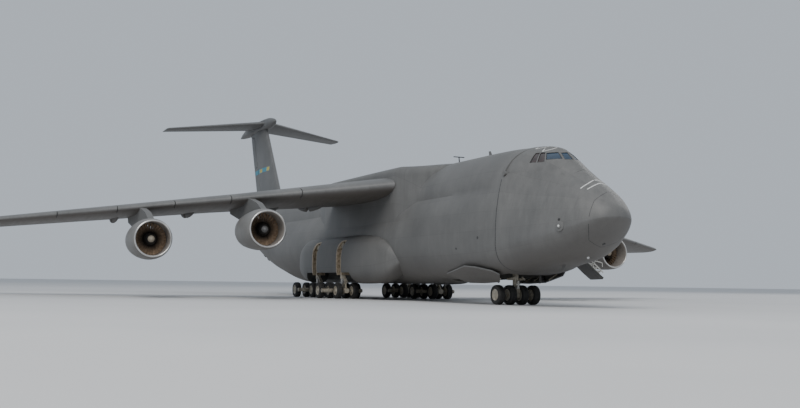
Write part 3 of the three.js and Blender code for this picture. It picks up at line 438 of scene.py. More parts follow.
hold_outline = [(-2.3, 2.5), (2.3, 2.5), (2.88, 3.3), (2.88, 5.9), (2.3, 6.6), (-2.3, 6.6), (-2.88, 5.9), (-2.88, 3.3)]
ramp_side = [(ramp_front, 0), (ramp_front, 2.38), (-41.3, 3.07), (-41.62, 1.98), (-41.62, 0)]
combine(shell, [
    prism("yz", hold_outline, -36, 3.8),
    prism("xz", [(-35.9, 2.5), (-35.9, 6.6), (-42, 6.6), (-50, 6.2), (-50, 5.3), (-41.9, 3.3), (-36.3, 2.5)], -2.1, 2.1),
    deck_cut(7.1, -1.2, 0.14, 7.62),
    prism("xz", ramp_side, -2.32, 2.32),
    plan_prism([(petal_front + running, -2.22), (petal_front + running, 2.22),
                (petal_rear - 0.09, 1.57), (petal_rear - 0.09, -1.57)], 0, 6),
    box(-5.6, 1.9, -1.62, 1.62, 0, 2.38),
    box(1.2, 2.6, 2.5, 5, 3.1, 5.3),
] + barrels["left"]("for_moving") + barrels["right"]("for_moving") + barrels["crew"]("for_moving"))
# Columns: sides of each window as angles seen from above, and its lower and upper edge.
window_rows = [(1.5, 11, 8.53, 9.02), (13, 36, 8.58, 9.07), (38.5, 52.5, 8.45, 9.12), (55, 70, 8.46, 9.12)]


def window_prisms(shrink=0.0, rim=0.0):
    made = []
    for start, end, low, high in window_rows:
        for side in (1, -1):
            rays = [(3.6 + 6 * math.cos(math.radians(a)), side * 6 * math.sin(math.radians(a)))
                    for a in (start + shrink, end - shrink)]
            made.append(prism("xy", [(3.6, 0)] + rays, low + rim, high - rim))
    return made


combine(shell, [part for key in barrels for part in barrels[key]("fixed")] + [
    rod((2.92, side * 2.4, 7.9), (2.92, side * 2.6794, 7.9), 0.15, 32) for side in (1, -1)] + [
    box(2.4, 3.07, y, y + 0.3, 2.42, 2.48) for y in (-1.7, 1.1)], "UNION")
combine(shell, window_prisms())
finish_piece(shell, "fuselage_skin", [body_paint, inner_shade_and_brake_finish], "airframe", ["fuselage_shell"])
line_inside(shell)

# Flight-deck windows. Laminated panes, blue and sheer in front and browner at the sides, seated in dark rubber
# and metal rims just under the skin's surface. The panes are opaque, and their near-black colour is painted shade of
# the flight deck behind them.
def glass(name, tone, edge):
    made, tree, shader, place = new_material(name)
    smear = shade(tree, "MapRange", {"Value": noise(tree, place, 14.0, 5.0), "To Min": 0.04, "To Max": 0.16})
    feed(tree, shader, {"Base Color": ramp(tree, noise(tree, place, 3.5, 3.0), [(0.35, tone), (0.7, edge)]),
                        "Roughness": smear.outputs[0], "Coat Weight": 0.6, "IOR": 1.52})
    return made


screen_glass = glass("screen_glass", (0.012, 0.032, 0.062), (0.03, 0.065, 0.11))
side_glass = glass("side_glass", (0.022, 0.014, 0.012), (0.075, 0.045, 0.04))
rim_finish = worn("rim_rubber", [(0.4, 0.03), (0.7, 0.085)], 20.0, 5.0, (0.4, 0.75))
for i, (opening, smaller) in enumerate(zip(window_prisms(), window_prisms(0.9, 0.035))):
    row, side = divmod(i, 2)
    key = f"{row + 1}_{('left', 'right')[side]}"
    band = combine(body_loft(7.32, 2.4, 0.012, deck_slim, 0.2), [body_loft(7.22, 2.3, 0.1, deck_slim, 0.2)])
    band = combine(band, [opening], "INTERSECT")
    pane = new_piece("pane", band.data.copy())
    finish_piece(combine(band, [smaller]), f"window_rim_{key}", [rim_finish], "airframe")
    combine(pane, [body_loft(7.28, 2.35, 0.04, deck_slim, 0.2)], "INTERSECT")
    finish_piece(pane, f"window_pane_{key}", [screen_glass if row < 2 else side_glass], "airframe",
                 ["flight_deck_glass"])

# Visor. The whole nose ahead of the joint is one hollow shell of sheet and stiffeners that hinges up over the
# flight deck. Its tip is a round radome, and a sealed joint runs round its rear edge.
visor = body_loft(10.6, visor_joint + seat, pitch_m=0.25)
combine(visor, [body_loft(10.46, 2.7, 0.14, pitch_m=0.3), box(-20, 7.37, -40, 40, 7.9, 60)])
deck_clear = combine(body_loft(7.37, 2.5, 0, 0.962), [box(-80, 20, -40, 40, 6.7, 60)], "INTERSECT")
combine(visor, [deck_clear, box(2.7, 7.37, -1.15, 1.15, 7.5, 60)] + [
    rod((2.92, side * 2.35, 7.9), (2.92, side * 2.68, 7.9), 0.17, 32) for side in (1, -1)])
finish_piece(visor, "visor_skin", [body_paint, inner_shade_and_brake_finish], "visor", ["visor"])
line_inside(visor, 0.05, 9.2)

# Nose fittings. Painted guide lines, a dark seal round the joint and the radome, round pressure sensors on
# each cheek, a lamp, and small blade and tee aerials, each screwed to the skin.
pale_line = worn("guide_line_white", [(0.3, (0.5, 0.5, 0.48)), (0.5, (0.78, 0.78, 0.76))], 30.0, 4.0, (0.4, 0.7))
skins = {body: BVHTree.FromPolygons([v.co for v in skin.data.vertices], [p.vertices for p in skin.data.polygons])
         for body, skin in (("visor", visor), ("airframe", shell))}


def on_skin(body, point):
    place, normal, _, _ = skins[body].find_nearest(spot(*point))
    return place, normal


def stripe(name, points, width, body, material, lift=0.003):
    dense = []
    for a, b in zip(points, points[1:]):
        steps = max(int((Vector(b) - Vector(a)).length / 0.12), 1)
        dense += [tuple(Vector(a).lerp(Vector(b), i / steps)) for i in range(steps)]
    draped = [on_skin(body, point) for point in dense + [points[-1]]]
    rings = []
    for i, (place, normal) in enumerate(draped):
        along = draped[min(i + 1, len(draped) - 1)][0] - draped[max(i - 1, 0)][0]
        side = along.cross(normal).normalized() * width / 4
        rings.append([tuple(place + side * a + normal * b) for a, b in ((-1, lift), (1, lift), (1, -lift), (-1, -lift))])
    return finish_piece(loft(name, rings, lambda *point: Vector(point)), name, [material], body)


stripe("nose_line_upper", [(8.62, -1.17, 6.69), (8.62, -0.91, 6.85), (8.59, -0.62, 6.98), (8.48, -0.2, 7.13),
                           (8.41, 0.26, 7.17), (8.31, 0.7, 7.13)], 0.065, "visor", pale_line)
stripe("nose_line_lower", [(8.95, -0.94, 6.62), (8.93, -0.6, 6.78), (8.85, -0.13, 6.91), (8.75, 0.28, 6.96),
                           (8.65, 0.66, 6.93)], 0.065, "visor", pale_line)
stripe("roof_line_fore", [(4.9, -0.1, 9.45), (4.75, -0.45, 9.4), (4.35, -0.9, 9.3), (4.15, -0.55, 9.45)], 0.06,
       "airframe",
       pale_line)
stripe("roof_line_aft", [(4.2, 0.1, 9.6), (4.0, -0.3, 9.6), (3.4, -0.75, 9.6), (3.2, -0.4, 9.7)], 0.06,
       "airframe", pale_line)
for side, word in ((1, "left"), (-1, "right")):
    stripe("radome_seal_" + word, [(9.6, 0, 6.4), (9.76, side * 1.07, 5.9), (9.79, side * 1.36, 5.23),
                                   (9.65, side * 1.35, 4.48), (9.15, side * 0.97, 3.75), (8.9, 0, 3.4)], 0.03, "visor",
           rim_finish, 0.001)
    seam = [(2.76, side * y, z) for _, y, z in body_ring(2.76) if y > 0.02 and z < 7.7]
    stripe("visor_seal_" + word, seam, 0.06, "airframe", rim_finish, 0.0012)


def fitting(name, body, point, profile, material, sides=24):
    place, normal = on_skin(body, point)
    across = normal.cross(Vector((0, 0, 1) if abs(normal.z) < 0.9 else (0, 1, 0))).normalized()
    other = normal.cross(across)
    rings = [[tuple(place + normal * out * 0.5 + (across * math.cos(t) + other * math.sin(t)) * radius * 0.5)
              for t in (k * 2 * math.pi / sides for k in range(sides))] for out, radius in profile]
    return finish_piece(loft(name, rings, lambda *p: Vector(p)), name, [material], body)


for side, word in ((1, "left"), (-1, "right")):
    fitting("sensor_plate_" + word, "visor", (8.13, side * 2.22, 4.52),
            [(-0.02, 0.3), (0.012, 0.3), (0.022, 0.27), (0.045, 0.16), (0.08, 0.145), (0.085, 0.1)], body_paint)
    fitting("sensor_face_" + word, "visor", (8.13, side * 2.22, 4.52),
            [(0.05, 0.065), (0.1, 0.065), (0.115, 0.045), (0.118, 0.02)], pale_line)
    fitting("sensor_port_" + word, "visor", (8.05, side * 2.24, 4.91),
            [(-0.02, 0.08), (0.02, 0.08), (0.03, 0.05), (0.03, 0.01)], rim_finish)
    fitting("skin_port_fore_" + word, "airframe", (0.9, side * 3.3, 4.1),
            [(-0.02, 0.09), (0.01, 0.09), (0.015, 0.05), (0.015, 0.01)], rim_finish)
    fitting("skin_port_aft_" + word, "airframe", (-1.7, side * 3.35, 3.5),
            [(-0.02, 0.07), (0.01, 0.07), (0.015, 0.04), (0.015, 0.01)], rim_finish)
fitting("nose_lens", "visor", (9.15, 0.03, 3.56), [(-0.02, 0.1), (0.01, 0.1), (0.02, 0.07), (0.03, 0.02)], rim_finish)
fitting("chin_lamp", "visor", (7.8, -0.06, 2.87), [(-0.05, 0.075), (0.05, 0.07), (0.09, 0.05), (0.1, 0.02)], pale_line)
for name, body, x, y, z, tall, chord in [
        ("chin_blade", "visor", 5.49, -0.09, 2.45, -0.34, 0.32),
        ("roof_blade_fore", "airframe", -3.2, 0, 9.78, 0.4, 0.45),
        ("belly_blade", "airframe", -9.5, 0, 1.33, -0.32, 0.4),
        ("roof_blade_aft", "airframe", -38, 0, 9.8, 0.4, 0.5)]:
    rings = [[(x + f * chord * size - lean, y + s * 0.025 * size, z - 0.05 * tall + up * tall) for f, s in
              ((0.5, 0), (0.2, 1), (-0.3, 0.8), (-0.5, 0), (-0.3, -0.8), (0.2, -1))]
             for up, size, lean in ((0, 1, 0), (0.6, 0.8, 0.08), (1, 0.55, 0.16))]
    finish_piece(loft(name, rings), name, [body_paint], body)
mast = rod((-7.6, 0, 9.7), (-7.7, 0, 10.28), 0.05, 12, 0.035)
combine(mast, [loft("bar", [[(-7.7 + a, y, 10.25 + b) for a, b in ((-0.07, 0), (0, -0.035), (0.07, 0), (0, 0.035))]
                            for y in (-0.42, 0.42)])], "UNION")
finish_piece(mast, "tee_aerial", [rim_finish], "airframe")

# Nose ramp. A flat ribbed plate that stands upright behind the visor, in dark grip paint.
ramp_paint, tree, shader, place = new_material("ramp_grip_paint")
grit = noise(tree, place, 160.0, 3.0)
scuff = ramp(tree, noise(tree, place, 2.4, 8.0, 0.7), [(0.35, (0.07, 0.068, 0.06)), (0.7, (0.15, 0.145, 0.13))])
mixed = shade(tree, "MixRGB", {"Fac": 0.35, "Color1": scuff, "Color2": ramp(tree, grit, [(0.4, 0.05), (0.6, 0.2)])})
lumps = shade(tree, "Bump", {"Strength": 0.4, "Distance": 0.003, "Height": grit})
feed(tree, shader, {"Base Color": mixed.outputs["Color"], "Roughness": 0.78, "Normal": lumps.outputs[0]})
ramp_outline = [(-2, 2.55), (2, 2.55), (2.5, 3.3), (2.5, 5.9), (2.1, 6.3), (-2.1, 6.3), (-2.5, 5.9), (-2.5, 3.3)]
nose_ramp = prism("yz", ramp_outline, 2.95, 3.19)
slots = [box(3.13, 3.25, y - 0.045, y + 0.045, 2.85, 6.0) for y in (-1.6, -0.8, 0, 0.8, 1.6)]
combine(nose_ramp, barrels["nose_ramp"]("for_fixed") + slots)
combine(nose_ramp, barrels["nose_ramp"]("moving"), "UNION")
finish_piece(nose_ramp, "nose_ramp_plate", [ramp_paint], "nose_ramp", ["nose_ramp"])

# Aft ramp and aft doors. The ramp is the belly skin over a cargo floor; behind it two thin curved doors meet
# on the centre line, each hinged along its outer edge on a pair of barrels.
aft_ramp = body_loft(-35.6, -42.4)
combine(aft_ramp, [prism("xz", [(-36.2 - seat, 0), (-36.2 - seat, 2.36), (-41.28 - seat, 3.05), (-41.6 - seat, 1.98),
                                (-41.6 - seat, 0)], -2.3, 2.3)], "INTERSECT")
finish_piece(aft_ramp, "aft_ramp_plate", [body_paint, ramp_paint], "aft_ramp", ["aft_ramp"])
line_inside(aft_ramp)
for side, word in ((1, "left"), (-1, "right")):
    door = combine(body_loft(-41, -51, pitch_m=0.3), [body_loft(-40.64, -51.2, 0.18, pitch_m=0.3)])
    combine(door, [plan_prism([(petal_front, side * 0.01), (petal_front, side * 2.2), (petal_rear, side * 1.55),
                               (petal_rear, side * 0.01)], 0, 6)], "INTERSECT")
    combine(door, barrels[word]("for_fixed"))
    combine(door, barrels[word]("moving"), "UNION")
    finish_piece(door, f"aft_door_skin_{word}", [body_paint, inner_shade_and_brake_finish], f"aft_door_{word}", [f"aft_door_{word}"])
    line_inside(door)

# Crew door. A curved panel of the port skin that swings out and down on the sill. White steps between two
# strings are fixed to its inner face, and a thin hand rail stands beside them.
crew_turn = Matrix.Rotation(math.radians(-130), 4, (spot(*crew_hinge[1]) - spot(*crew_hinge[0])).normalized())
crew_pin = spot(*crew_hinge[0])


def swing_open(piece):
    piece.data.transform(Matrix.Translation(crew_pin) @ crew_turn @ Matrix.Translation(-crew_pin))
    return piece


crew_door = combine(body_loft(2.9, 0.9, pitch_m=0.2), [body_loft(3, 0.5, 0.14, pitch_m=0.2)])
combine(crew_door, [box(1.22, 2.58, 2.5, 5, 3.12, 5.28)], "INTERSECT")
combine(crew_door, barrels["crew"]("for_fixed"))
combine(crew_door, barrels["crew"]("moving"), "UNION")
finish_piece(crew_door, "crew_door_panel", [body_paint, inner_shade_and_brake_finish], "crew_door", ["crew_door"])
line_inside(crew_door, 0.05)
swing_open(crew_door)
white_paint = worn("chipped_white", [(0.33, (0.25, 0.23, 0.2)), (0.4, (0.6, 0.58, 0.53)),
                                     (0.75, (0.74, 0.73, 0.69))], 26.0, 9.0, (0.55, 0.35), 0.72, 0.2)
steps = [box(1.4, 2.4, 2.7, 3.0, z, z + 0.05) for z in (3.5, 3.85, 4.2, 4.55, 4.9)]
steps += [box(x, x + 0.05, y, y + 0.07, 3.3, 5.1) for x in (1.36, 2.4) for y in (2.66, 2.93)]
steps = combine(steps[0], steps[1:], "UNION")
finish_piece(steps, "crew_door_steps", [white_paint], "crew_door")
swing_open(steps)
rail = [rod((2.5, 2.96, 3.3), (2.5, 2.32, 4.62), 0.026, 10), rod((2.5, 2.32, 4.62), (2.5, 2.5, 4.8), 0.026, 10),
        rod((2.5, 2.55, 4.15), (2.5, 2.95, 4.3), 0.022, 10)]
rail = combine(rail[0], rail[1:], "UNION")
finish_piece(rail, "crew_door_rail", [white_paint], "crew_door")
swing_open(rail)

# Nose-wheel doors. Two flat sandwich panels on arms at the sides of the bay, with a pale stiffening strip along
# the rear tip of each.
soft_edges = bpy.data.node_groups.new("soft_edges", "GeometryNodeTree")
for way in ("INPUT", "OUTPUT"):
    soft_edges.interface.new_socket("Geometry", in_out=way, socket_type="NodeSocketGeometry")
chain = soft_edges.nodes.new("NodeGroupInput").outputs[0]
angle = soft_edges.nodes.new("GeometryNodeInputMeshEdgeAngle")
flat_enough = soft_edges.nodes.new("FunctionNodeCompare")
flat_enough.operation = "LESS_THAN"
flat_enough.inputs["B"].default_value = 0.5
soft_edges.links.new(angle.outputs["Unsigned Angle"], flat_enough.inputs["A"])
for kind, settings, sockets in (
        ("GeometryNodeRemoveAttribute", {}, {"Name": "custom_normal"}),
        ("GeometryNodeMergeByDistance", {}, {"Distance": 0.0005}),
        ("GeometryNodeSetShadeSmooth", {"domain": "FACE"}, {}),
        ("GeometryNodeSetShadeSmooth", {"domain": "EDGE"}, {"Shade Smooth": flat_enough.outputs["Result"]})):
    step = soft_edges.nodes.new(kind)
    for key, value in settings.items():
        setattr(step, key, value)
    feed(soft_edges, step, {**sockets, 0: chain})
    chain = step.outputs[0]
soft_edges.links.new(chain, soft_edges.nodes.new("NodeGroupOutput").inputs[0])


def dress_node(name, material):
    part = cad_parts[name]
    part.modifiers.new("soft_edges", "NODES").node_group = soft_edges
    for place in part.material_slots:
        place.material = material


gear_paint, tree, shader, place = new_material("gear_enamel")
stain = noise(tree, place, 5.0, 9.0, 0.7)
drips = noise(tree, shade(tree, "Mapping", {"Vector": place, "Scale": (5, 5, 0.8)}).outputs[0], 4.0, 6.0)
enamel = shade(tree, "MixRGB", {
    "Fac": 0.7, "Color1": ramp(tree, stain, [(0.3, (0.2, 0.17, 0.13)), (0.5, (0.5, 0.46, 0.38)),
                                             (0.75, (0.6, 0.57, 0.5))]),
    "Color2": ramp(tree, drips, [(0.35, (0.55, 0.5, 0.42)), (0.6, (1, 1, 1))])}, blend_type="MULTIPLY")
feed(tree, shader, {
    "Base Color": enamel.outputs["Color"],
    "Roughness": shade(tree, "MapRange", {"Value": stain, "To Min": 0.6, "To Max": 0.32}).outputs[0],
    "Normal": shade(tree, "Bump", {"Strength": 0.25, "Distance": 0.002, "Height": stain}).outputs[0]})


def door_height(x, y):
    return 1.41 + 0.62 * (y - 1.67) + 0.04 * (x + 1)


for side, word in ((1, "left"), (-1, "right")):
    dress_node(f"nose_gear_door_{word}", body_paint)
    outline = [(-3.9, 2.76), (-3.46, 2.27), (-2.7, 1.86), (-2.1, 1.8), (-2.1, 3.05)]
    strip = loft("strip", [[(x, side * y, door_height(x, y) + lift) for x, y in outline] for lift in (0.001, 0.03)])
    finish_piece(strip, f"nose_gear_door_tip_{word}", [white_paint], "airframe")
    ribs = []
    for x in (-1.6, -0.6, 1.1):
        ribs.append(loft("rib", [[(x + across_x, side * y, door_height(x, y) + lift) for across_x, lift in
                                  ((0, 0.0005), (0.06, 0.0005), (0.06, 0.09), (0, 0.09))] for y in (1.75, 2.35)]))
    finish_piece(combine(ribs[0], ribs[1:], "UNION"), f"nose_gear_door_ribs_{word}", [gear_paint], "airframe")

# Sponsons. Long blisters low on both sides that house the main legs. Sheet skin, with a tall slot for each leg
# edged in tan, and one long open bay beneath.
# Columns: station, outer side, bottom, top.
sponson_at = curve_through([(-10.1, 3.1, 2.8, 3.0), (-10.4, 3.3, 2.6, 3.2), (-11.6, 3.95, 1.7, 4.1),
                            (-13.6, 4.3, 1.26, 4.7),
                            (-17, 4.42, 1.2, 4.95), (-27.2, 4.42, 1.2, 4.95), (-29.6, 4.1, 1.6, 4.5),
                            (-31.8, 3.4, 2.7, 3.4)])
pod_inner, bay_roof = 2.1, 2.05
leg_x = (-19.52, -25.13)


def pod_ring(x, side, grow=0.0):
    out, low, top = sponson_at(x)
    half, rise, middle = (out - pod_inner) / 2 + grow, (top - low) / 2 + grow, (top + low) / 2
    points = []
    for i in range(72):
        turn = i / 72 * 2 * math.pi
        c, s = math.cos(turn), math.sin(turn)
        points.append((x, side * (pod_inner + (out - pod_inner) / 2 + half * math.copysign(abs(c) ** 0.62, c)),
                       middle + rise * math.copysign(abs(s) ** 0.62, s)))
    return points


# One leg slot seen from the side: run from the leg and height. It bends forward at the top.
slot_outline = [(-0.52, 1.85), (-0.52, 3.5), (-0.42, 3.95), (-0.2, 4.3), (0.15, 4.52), (0.62, 4.6), (1.2, 4.6),
                (1.08, 4.35), (0.82, 4.1), (0.64, 3.75), (0.55, 3.3), (0.52, 1.85)]
pod_stations = [-10.4 - 0.15 * i for i in range(22)] + [-14, -15, -16, -17, -20, -23, -27.2]
pod_stations += [-27.5 - 0.3 * i for i in range(14)] + [-31.8]
slot_tan = worn("slot_tan", [(0.32, (0.13, 0.1, 0.07)), (0.5, (0.5, 0.4, 0.28)), (0.75, (0.62, 0.53, 0.4))],
                9.0, 8.0, (0.7, 0.4), 0.7)
for side, word in ((1, "left"), (-1, "right")):
    pod = loft("pod", [pod_ring(x, side) for x in pod_stations])
    combine(pod, [body_loft(-6, -36.2, -seat), prism("xz", [(-28.2, 0.4), (-27, bay_roof), (-17.4, bay_roof), (-16.2, 0.4)],
                                                     *sorted((side * 2.36, side * 8)))] + [
        prism("xz", [(x + dx, z) for dx, z in slot_outline], *sorted((side * 3.6, side * 8))) for x in leg_x])
    finish_piece(pod, f"sponson_skin_{word}", [body_paint, inner_shade_and_brake_finish], "airframe", [f"sponson_{word}"])
    # Faces inside the bay take the painted shade of the interior.
    for face in pod.data.polygons:
        x, y, z = full_size(face.center)
        out, low, top = sponson_at(min(x, -10.1))
        half, rise, middle = (out - pod_inner) / 2 - 0.04, (top - low) / 2 - 0.04, (top + low) / 2
        if abs((abs(y) - pod_inner - half - 0.04) / half) ** 3.2 + abs((z - middle) / rise) ** 3.2 < 1 and x < -12:
            face.material_index = 1
    for i, x in enumerate(leg_x):
        edge = prism("xz", [(x + dx, z) for dx, z in slot_outline], *sorted((side * 3.62, side * 4.43)))
        middle = [(x + 0.12 + (dx - 0.12) * 0.76 + (0.12 if z > 4 else 0), 1.8 + (z - 1.8) * 0.955)
                  for dx, z in slot_outline]
        combine(edge, [prism("xz", middle, *sorted((side * 3.5, side * 4.6)))])
        combine(edge, [loft("pod", [pod_ring(s, side, 0.006) for s in (-17, -20, -23, -27.2)])], "INTERSECT")
        finish_piece(edge, f"leg_slot_edge_{i + 1}_{word}", [slot_tan], "airframe")

# Main legs. A shock strut in each slot carries a bogie beam with two axles. Forgings in pale enamel, a bright
# piston, torque links in front, and tan cross tubes ahead of the rear wheels.
tyre_radius, tyre_width = 0.6225, 0.43
bright_steel = worn("bright_steel", [(0.35, (0.36, 0.35, 0.33)), (0.7, (0.6, 0.59, 0.57))], 18.0, 6.0, (0.2, 0.42),
                    metallic=0.9)
# Stations of each leg's front axle, the run back to its rear axle, and how far out the legs stand.
main_axles, axle_gap, leg_out = (("forward", -18.52), ("aft", -24.13)), 1.651, 4.148


def beam(x0, x1, y0, y1, z0, z1, chamfer):
    ring = [(y0 + chamfer, z0), (y1 - chamfer, z0), (y1, z0 + chamfer), (y1, z1 - chamfer), (y1 - chamfer, z1),
            (y0 + chamfer, z1), (y0, z1 - chamfer), (y0, z0 + chamfer)]
    return prism("yz", ring, x0, x1)


for (place_word, front_x), post_x in zip(main_axles, leg_x):
    rear_x = front_x - axle_gap
    tube_x = rear_x + 0.83
    for side, word in ((1, "left"), (-1, "right")):
        y = side * leg_out
        near, farther = sorted((side * 3.6006, side * 4.2))
        parts = [
            beam(rear_x - 0.2, front_x + 0.2, y - 0.17, y + 0.17, tyre_radius - 0.17, tyre_radius + 0.17, 0.06),
            rod((tube_x, y - 1.72, tyre_radius), (tube_x, y + 1.72, tyre_radius), 0.15, 32),
            rod((post_x, y - side * 0.25, 4.2), (tube_x + 0.1, y, 1.55), 0.2, 32),
            box(post_x - 0.5194, post_x + 0.5194, near, farther, 4.0, 4.4),
            rod((post_x + 0.02, y - side * 0.1, 2.55), (front_x + 0.1, y, tyre_radius + 0.16), 0.075, 16),
            rod((post_x - 0.35, y - side * 0.15, 3.9), (tube_x - 0.3, y - side * 0.05, 2.3), 0.06, 16),
        ]
        for x in (front_x, rear_x):
            parts.append(rod((x, y - 0.2, tyre_radius), (x, y + 0.2, tyre_radius), 0.2, 32))
        for dy in (-0.24, 0.24):
            parts.append(rod((tube_x, y + dy, tyre_radius - 0.001), (tube_x, y + dy + 0.07, tyre_radius), 0.21, 32))
        leg = combine(parts[0], parts[1:], "UNION")
        combine(leg, [rod((x, y - 1, tyre_radius), (x, y + 1, tyre_radius), 0.095, 32) for x in (front_x, rear_x)])
        leg_node = f"{place_word}_main_leg_{word}"
        finish_piece(leg, f"{place_word}_leg_forging_{word}", [gear_paint], "airframe", [leg_node])
        piston = rod((tube_x + 0.075, y, 1.62), (tube_x + 0.01, y, tyre_radius + 0.1), 0.13, 40)
        finish_piece(piston, f"{place_word}_leg_piston_{word}", [bright_steel], "airframe")
        links = []
        knee = (front_x + 0.02, 1.35)
        for a, b in (((post_x + 0.3, 1.9), knee), (knee, (tube_x + 0.3, 0.84))):
            for dy in (-0.12, 0.08):
                links.append(loft("link", [[(px, y + dy, pz - 0.05), (px, y + dy + 0.04, pz - 0.05),
                                            (px, y + dy + 0.04, pz + 0.05), (px, y + dy, pz + 0.05)]
                                           for px, pz in (a, b)]))
        finish_piece(combine(links[0], links[1:], "UNION"), f"{place_word}_leg_links_{word}", [gear_paint], "airframe")

# Wheels. Forged rims in off-white enamel with a dark brake pack behind, and black tyres with four moulded
# grooves round the tread. The wheels on one axle turn together.
tyre_rubber = worn("tyre_rubber", [(0.3, (0.014, 0.014, 0.014)), (0.55, (0.03, 0.029, 0.028)),
                                   (0.8, (0.075, 0.07, 0.062))], 3.5, 9.0, (0.65, 0.9), 0.7, 0.2, bump_scale=90.0)
half_w = tyre_width / 2
tread = [(0.585, -half_w + 0.012), (0.607, -half_w + 0.05), (0.6225, -half_w + 0.1)]
for groove in (-0.085, -0.028, 0.028, 0.085):
    tread += [(0.6225, groove - 0.012), (0.609, groove - 0.007), (0.609, groove + 0.007), (0.6225, groove + 0.012)]
tread += [(0.6225, half_w - 0.1), (0.607, half_w - 0.05), (0.585, half_w - 0.012)]
sidewall = [(0.56, half_w), (0.5, half_w + 0.012), (0.42, half_w + 0.004), (0.35, half_w - 0.025),
            (0.33, half_w - 0.045)]
tyre_profile = [(r, -d) for r, d in reversed(sidewall)] + tread + sidewall
rim_profile = [(0.345, 0.17), (0.365, 0.2), (0.35, 0.218), (0.31, 0.21), (0.29, 0.175), (0.25, 0.15), (0.19, 0.155),
               (0.15, 0.16), (0.13, 0.2), (0.1, 0.215), (0.09, 0.23), (0.0, 0.23)]
bolt_circle = 0.22


def turned(profile, sides=72, axis="y", centre=(0, 0, 0), materials=None):
    shape = bmesh.new()
    rings = []
    for r, d in profile:
        if r < 1e-6:
            rings.append([shape.verts.new((0, d, 0) if axis == "y" else (d, 0, 0))])
        else:
            angles = [2 * math.pi * i / sides for i in range(sides)]
            rings.append([shape.verts.new((r * math.cos(a), d, r * math.sin(a)) if axis == "y" else
                                          (d, r * math.cos(a), r * math.sin(a))) for a in angles])
    pairs = list(zip(rings, rings[1:]))
    if len(rings[0]) > 1 and len(rings[-1]) > 1:
        pairs.append((rings[-1], rings[0]))
    for k, (a, b) in enumerate(pairs):
        for i in range(sides):
            j = (i + 1) % sides
            corners = [a[i % len(a)], a[j % len(a)], b[j % len(b)], b[i % len(b)]]
            face = shape.faces.new(list(dict.fromkeys(corners)))
            face.material_index = materials[k] if materials else 0
    bmesh.ops.recalc_face_normals(shape, faces=shape.faces)
    bmesh.ops.transform(shape, verts=shape.verts, matrix=Matrix.Translation(centre))
    mesh = bpy.data.meshes.new("turned")
    shape.to_mesh(mesh)
    shape.free()
    return mesh


def merged(name, meshes):
    shape = bmesh.new()
    for mesh in meshes:
        shape.from_mesh(mesh)
        bpy.data.meshes.remove(mesh)
    made = bpy.data.meshes.new(name)
    shape.to_mesh(made)
    shape.free()
    return made


def wheel_mesh(offsets):
    parts = []
    for y in offsets:
        parts.append(turned(tyre_profile, 72, "y", (0, y, 0), [0] * len(tyre_profile)))
        for way in (1, -1):
            parts.append(turned([(r, way * d) for r, d in rim_profile], 48, "y", (0, y, 0), [1] * len(rim_profile)))
            for i in range(10):
                a = 2 * math.pi * i / 10
                parts.append(turned(
                    [(0.0, way * 0.142), (0.02, way * 0.14), (0.022, way * 0.11), (0.0, way * 0.1)], 8, "y",
                    (bolt_circle * math.cos(a), y, bolt_circle * math.sin(a)), [2] * 4))
        hub_ring = [(0.335, -0.172), (0.335, 0.172), (0.3, 0.168), (0.3, -0.168)]
        parts.append(turned(hub_ring, 48, "y", (0, y, 0), [3] * 4))
    low, high = min(offsets) - 0.1, max(offsets) + 0.1
    parts.append(turned([(0.0, low), (0.085, low), (0.085, high), (0.0, high)], 32, "y", (0, 0, 0), [2] * 3))
    mesh = merged("wheels", parts)
    mesh.transform(Matrix.Scale(0.5, 4))
    return mesh


axles = [("nose", "nose_wheels", 0, 0, (-1.295, -0.432, 0.432, 1.295))]
for word, side in (("left", 1), ("right", -1)):
    for place_word, front_x in main_axles:
        for end, x, offsets in (("front", front_x, (-0.673, 0.673)),
                                ("rear", front_x - axle_gap, (-1.537, -0.673, 0.673, 1.537))):
            axles.append((f"{place_word}_main_{end}_{word}", f"{place_word}_main_wheels_{end}_{word}", x,
                          side * leg_out, offsets))
made_wheels = {}
for name, node, x, y, offsets in axles:
    if offsets not in made_wheels:
        made_wheels[offsets] = wheel_mesh(offsets)
    wheels = new_piece("wheels", made_wheels[offsets].copy())
    wheels.location = spot(x, y, tyre_radius)
    finish_piece(wheels, f"{name}_wheel_set", [tyre_rubber, gear_paint, bright_steel, inner_shade_and_brake_finish], node, [node],
                 sharp=35)

# Nose leg. A thick strut with a pale bracket over the four wheels, a forked torque link and a steering jack on
# each side.
nose_parts = [rod((0, 0, 1.2), (0, 0, 2.379), 0.19, 40), beam(-0.2, 0.2, -0.22, 0.22, tyre_radius - 0.17, 1.02, 0.05),
              rod((0, 0, 0.9), (0, 0, 1.3), 0.15, 40), rod((0, -0.62, 1.62), (0, 0.62, 1.62), 0.07, 24),
              rod((0.05, -0.62, 1.62), (0.35, -0.3, 1.7), 0.06, 16),
              rod((0.05, 0.62, 1.62), (0.35, 0.3, 1.7), 0.06, 16)]
nose_leg = combine(nose_parts[0], nose_parts[1:], "UNION")
combine(nose_leg, [rod((0, -1, tyre_radius), (0, 1, tyre_radius), 0.095, 32)])
finish_piece(nose_leg, "nose_leg_forging", [gear_paint], "nose_truck", ["nose_leg"])
links = [beam(0.16, 0.34, -0.1, 0.1, 1.02, 1.1, 0.02), beam(0.24, 0.34, -0.06, 0.06, 1.05, 1.5, 0.02),
         rod((0.3, -0.14, 1.3), (0.3, 0.14, 1.3), 0.05, 20)]
finish_piece(combine(links[0], links[1:], "UNION"), "nose_leg_links", [white_paint], "nose_truck")

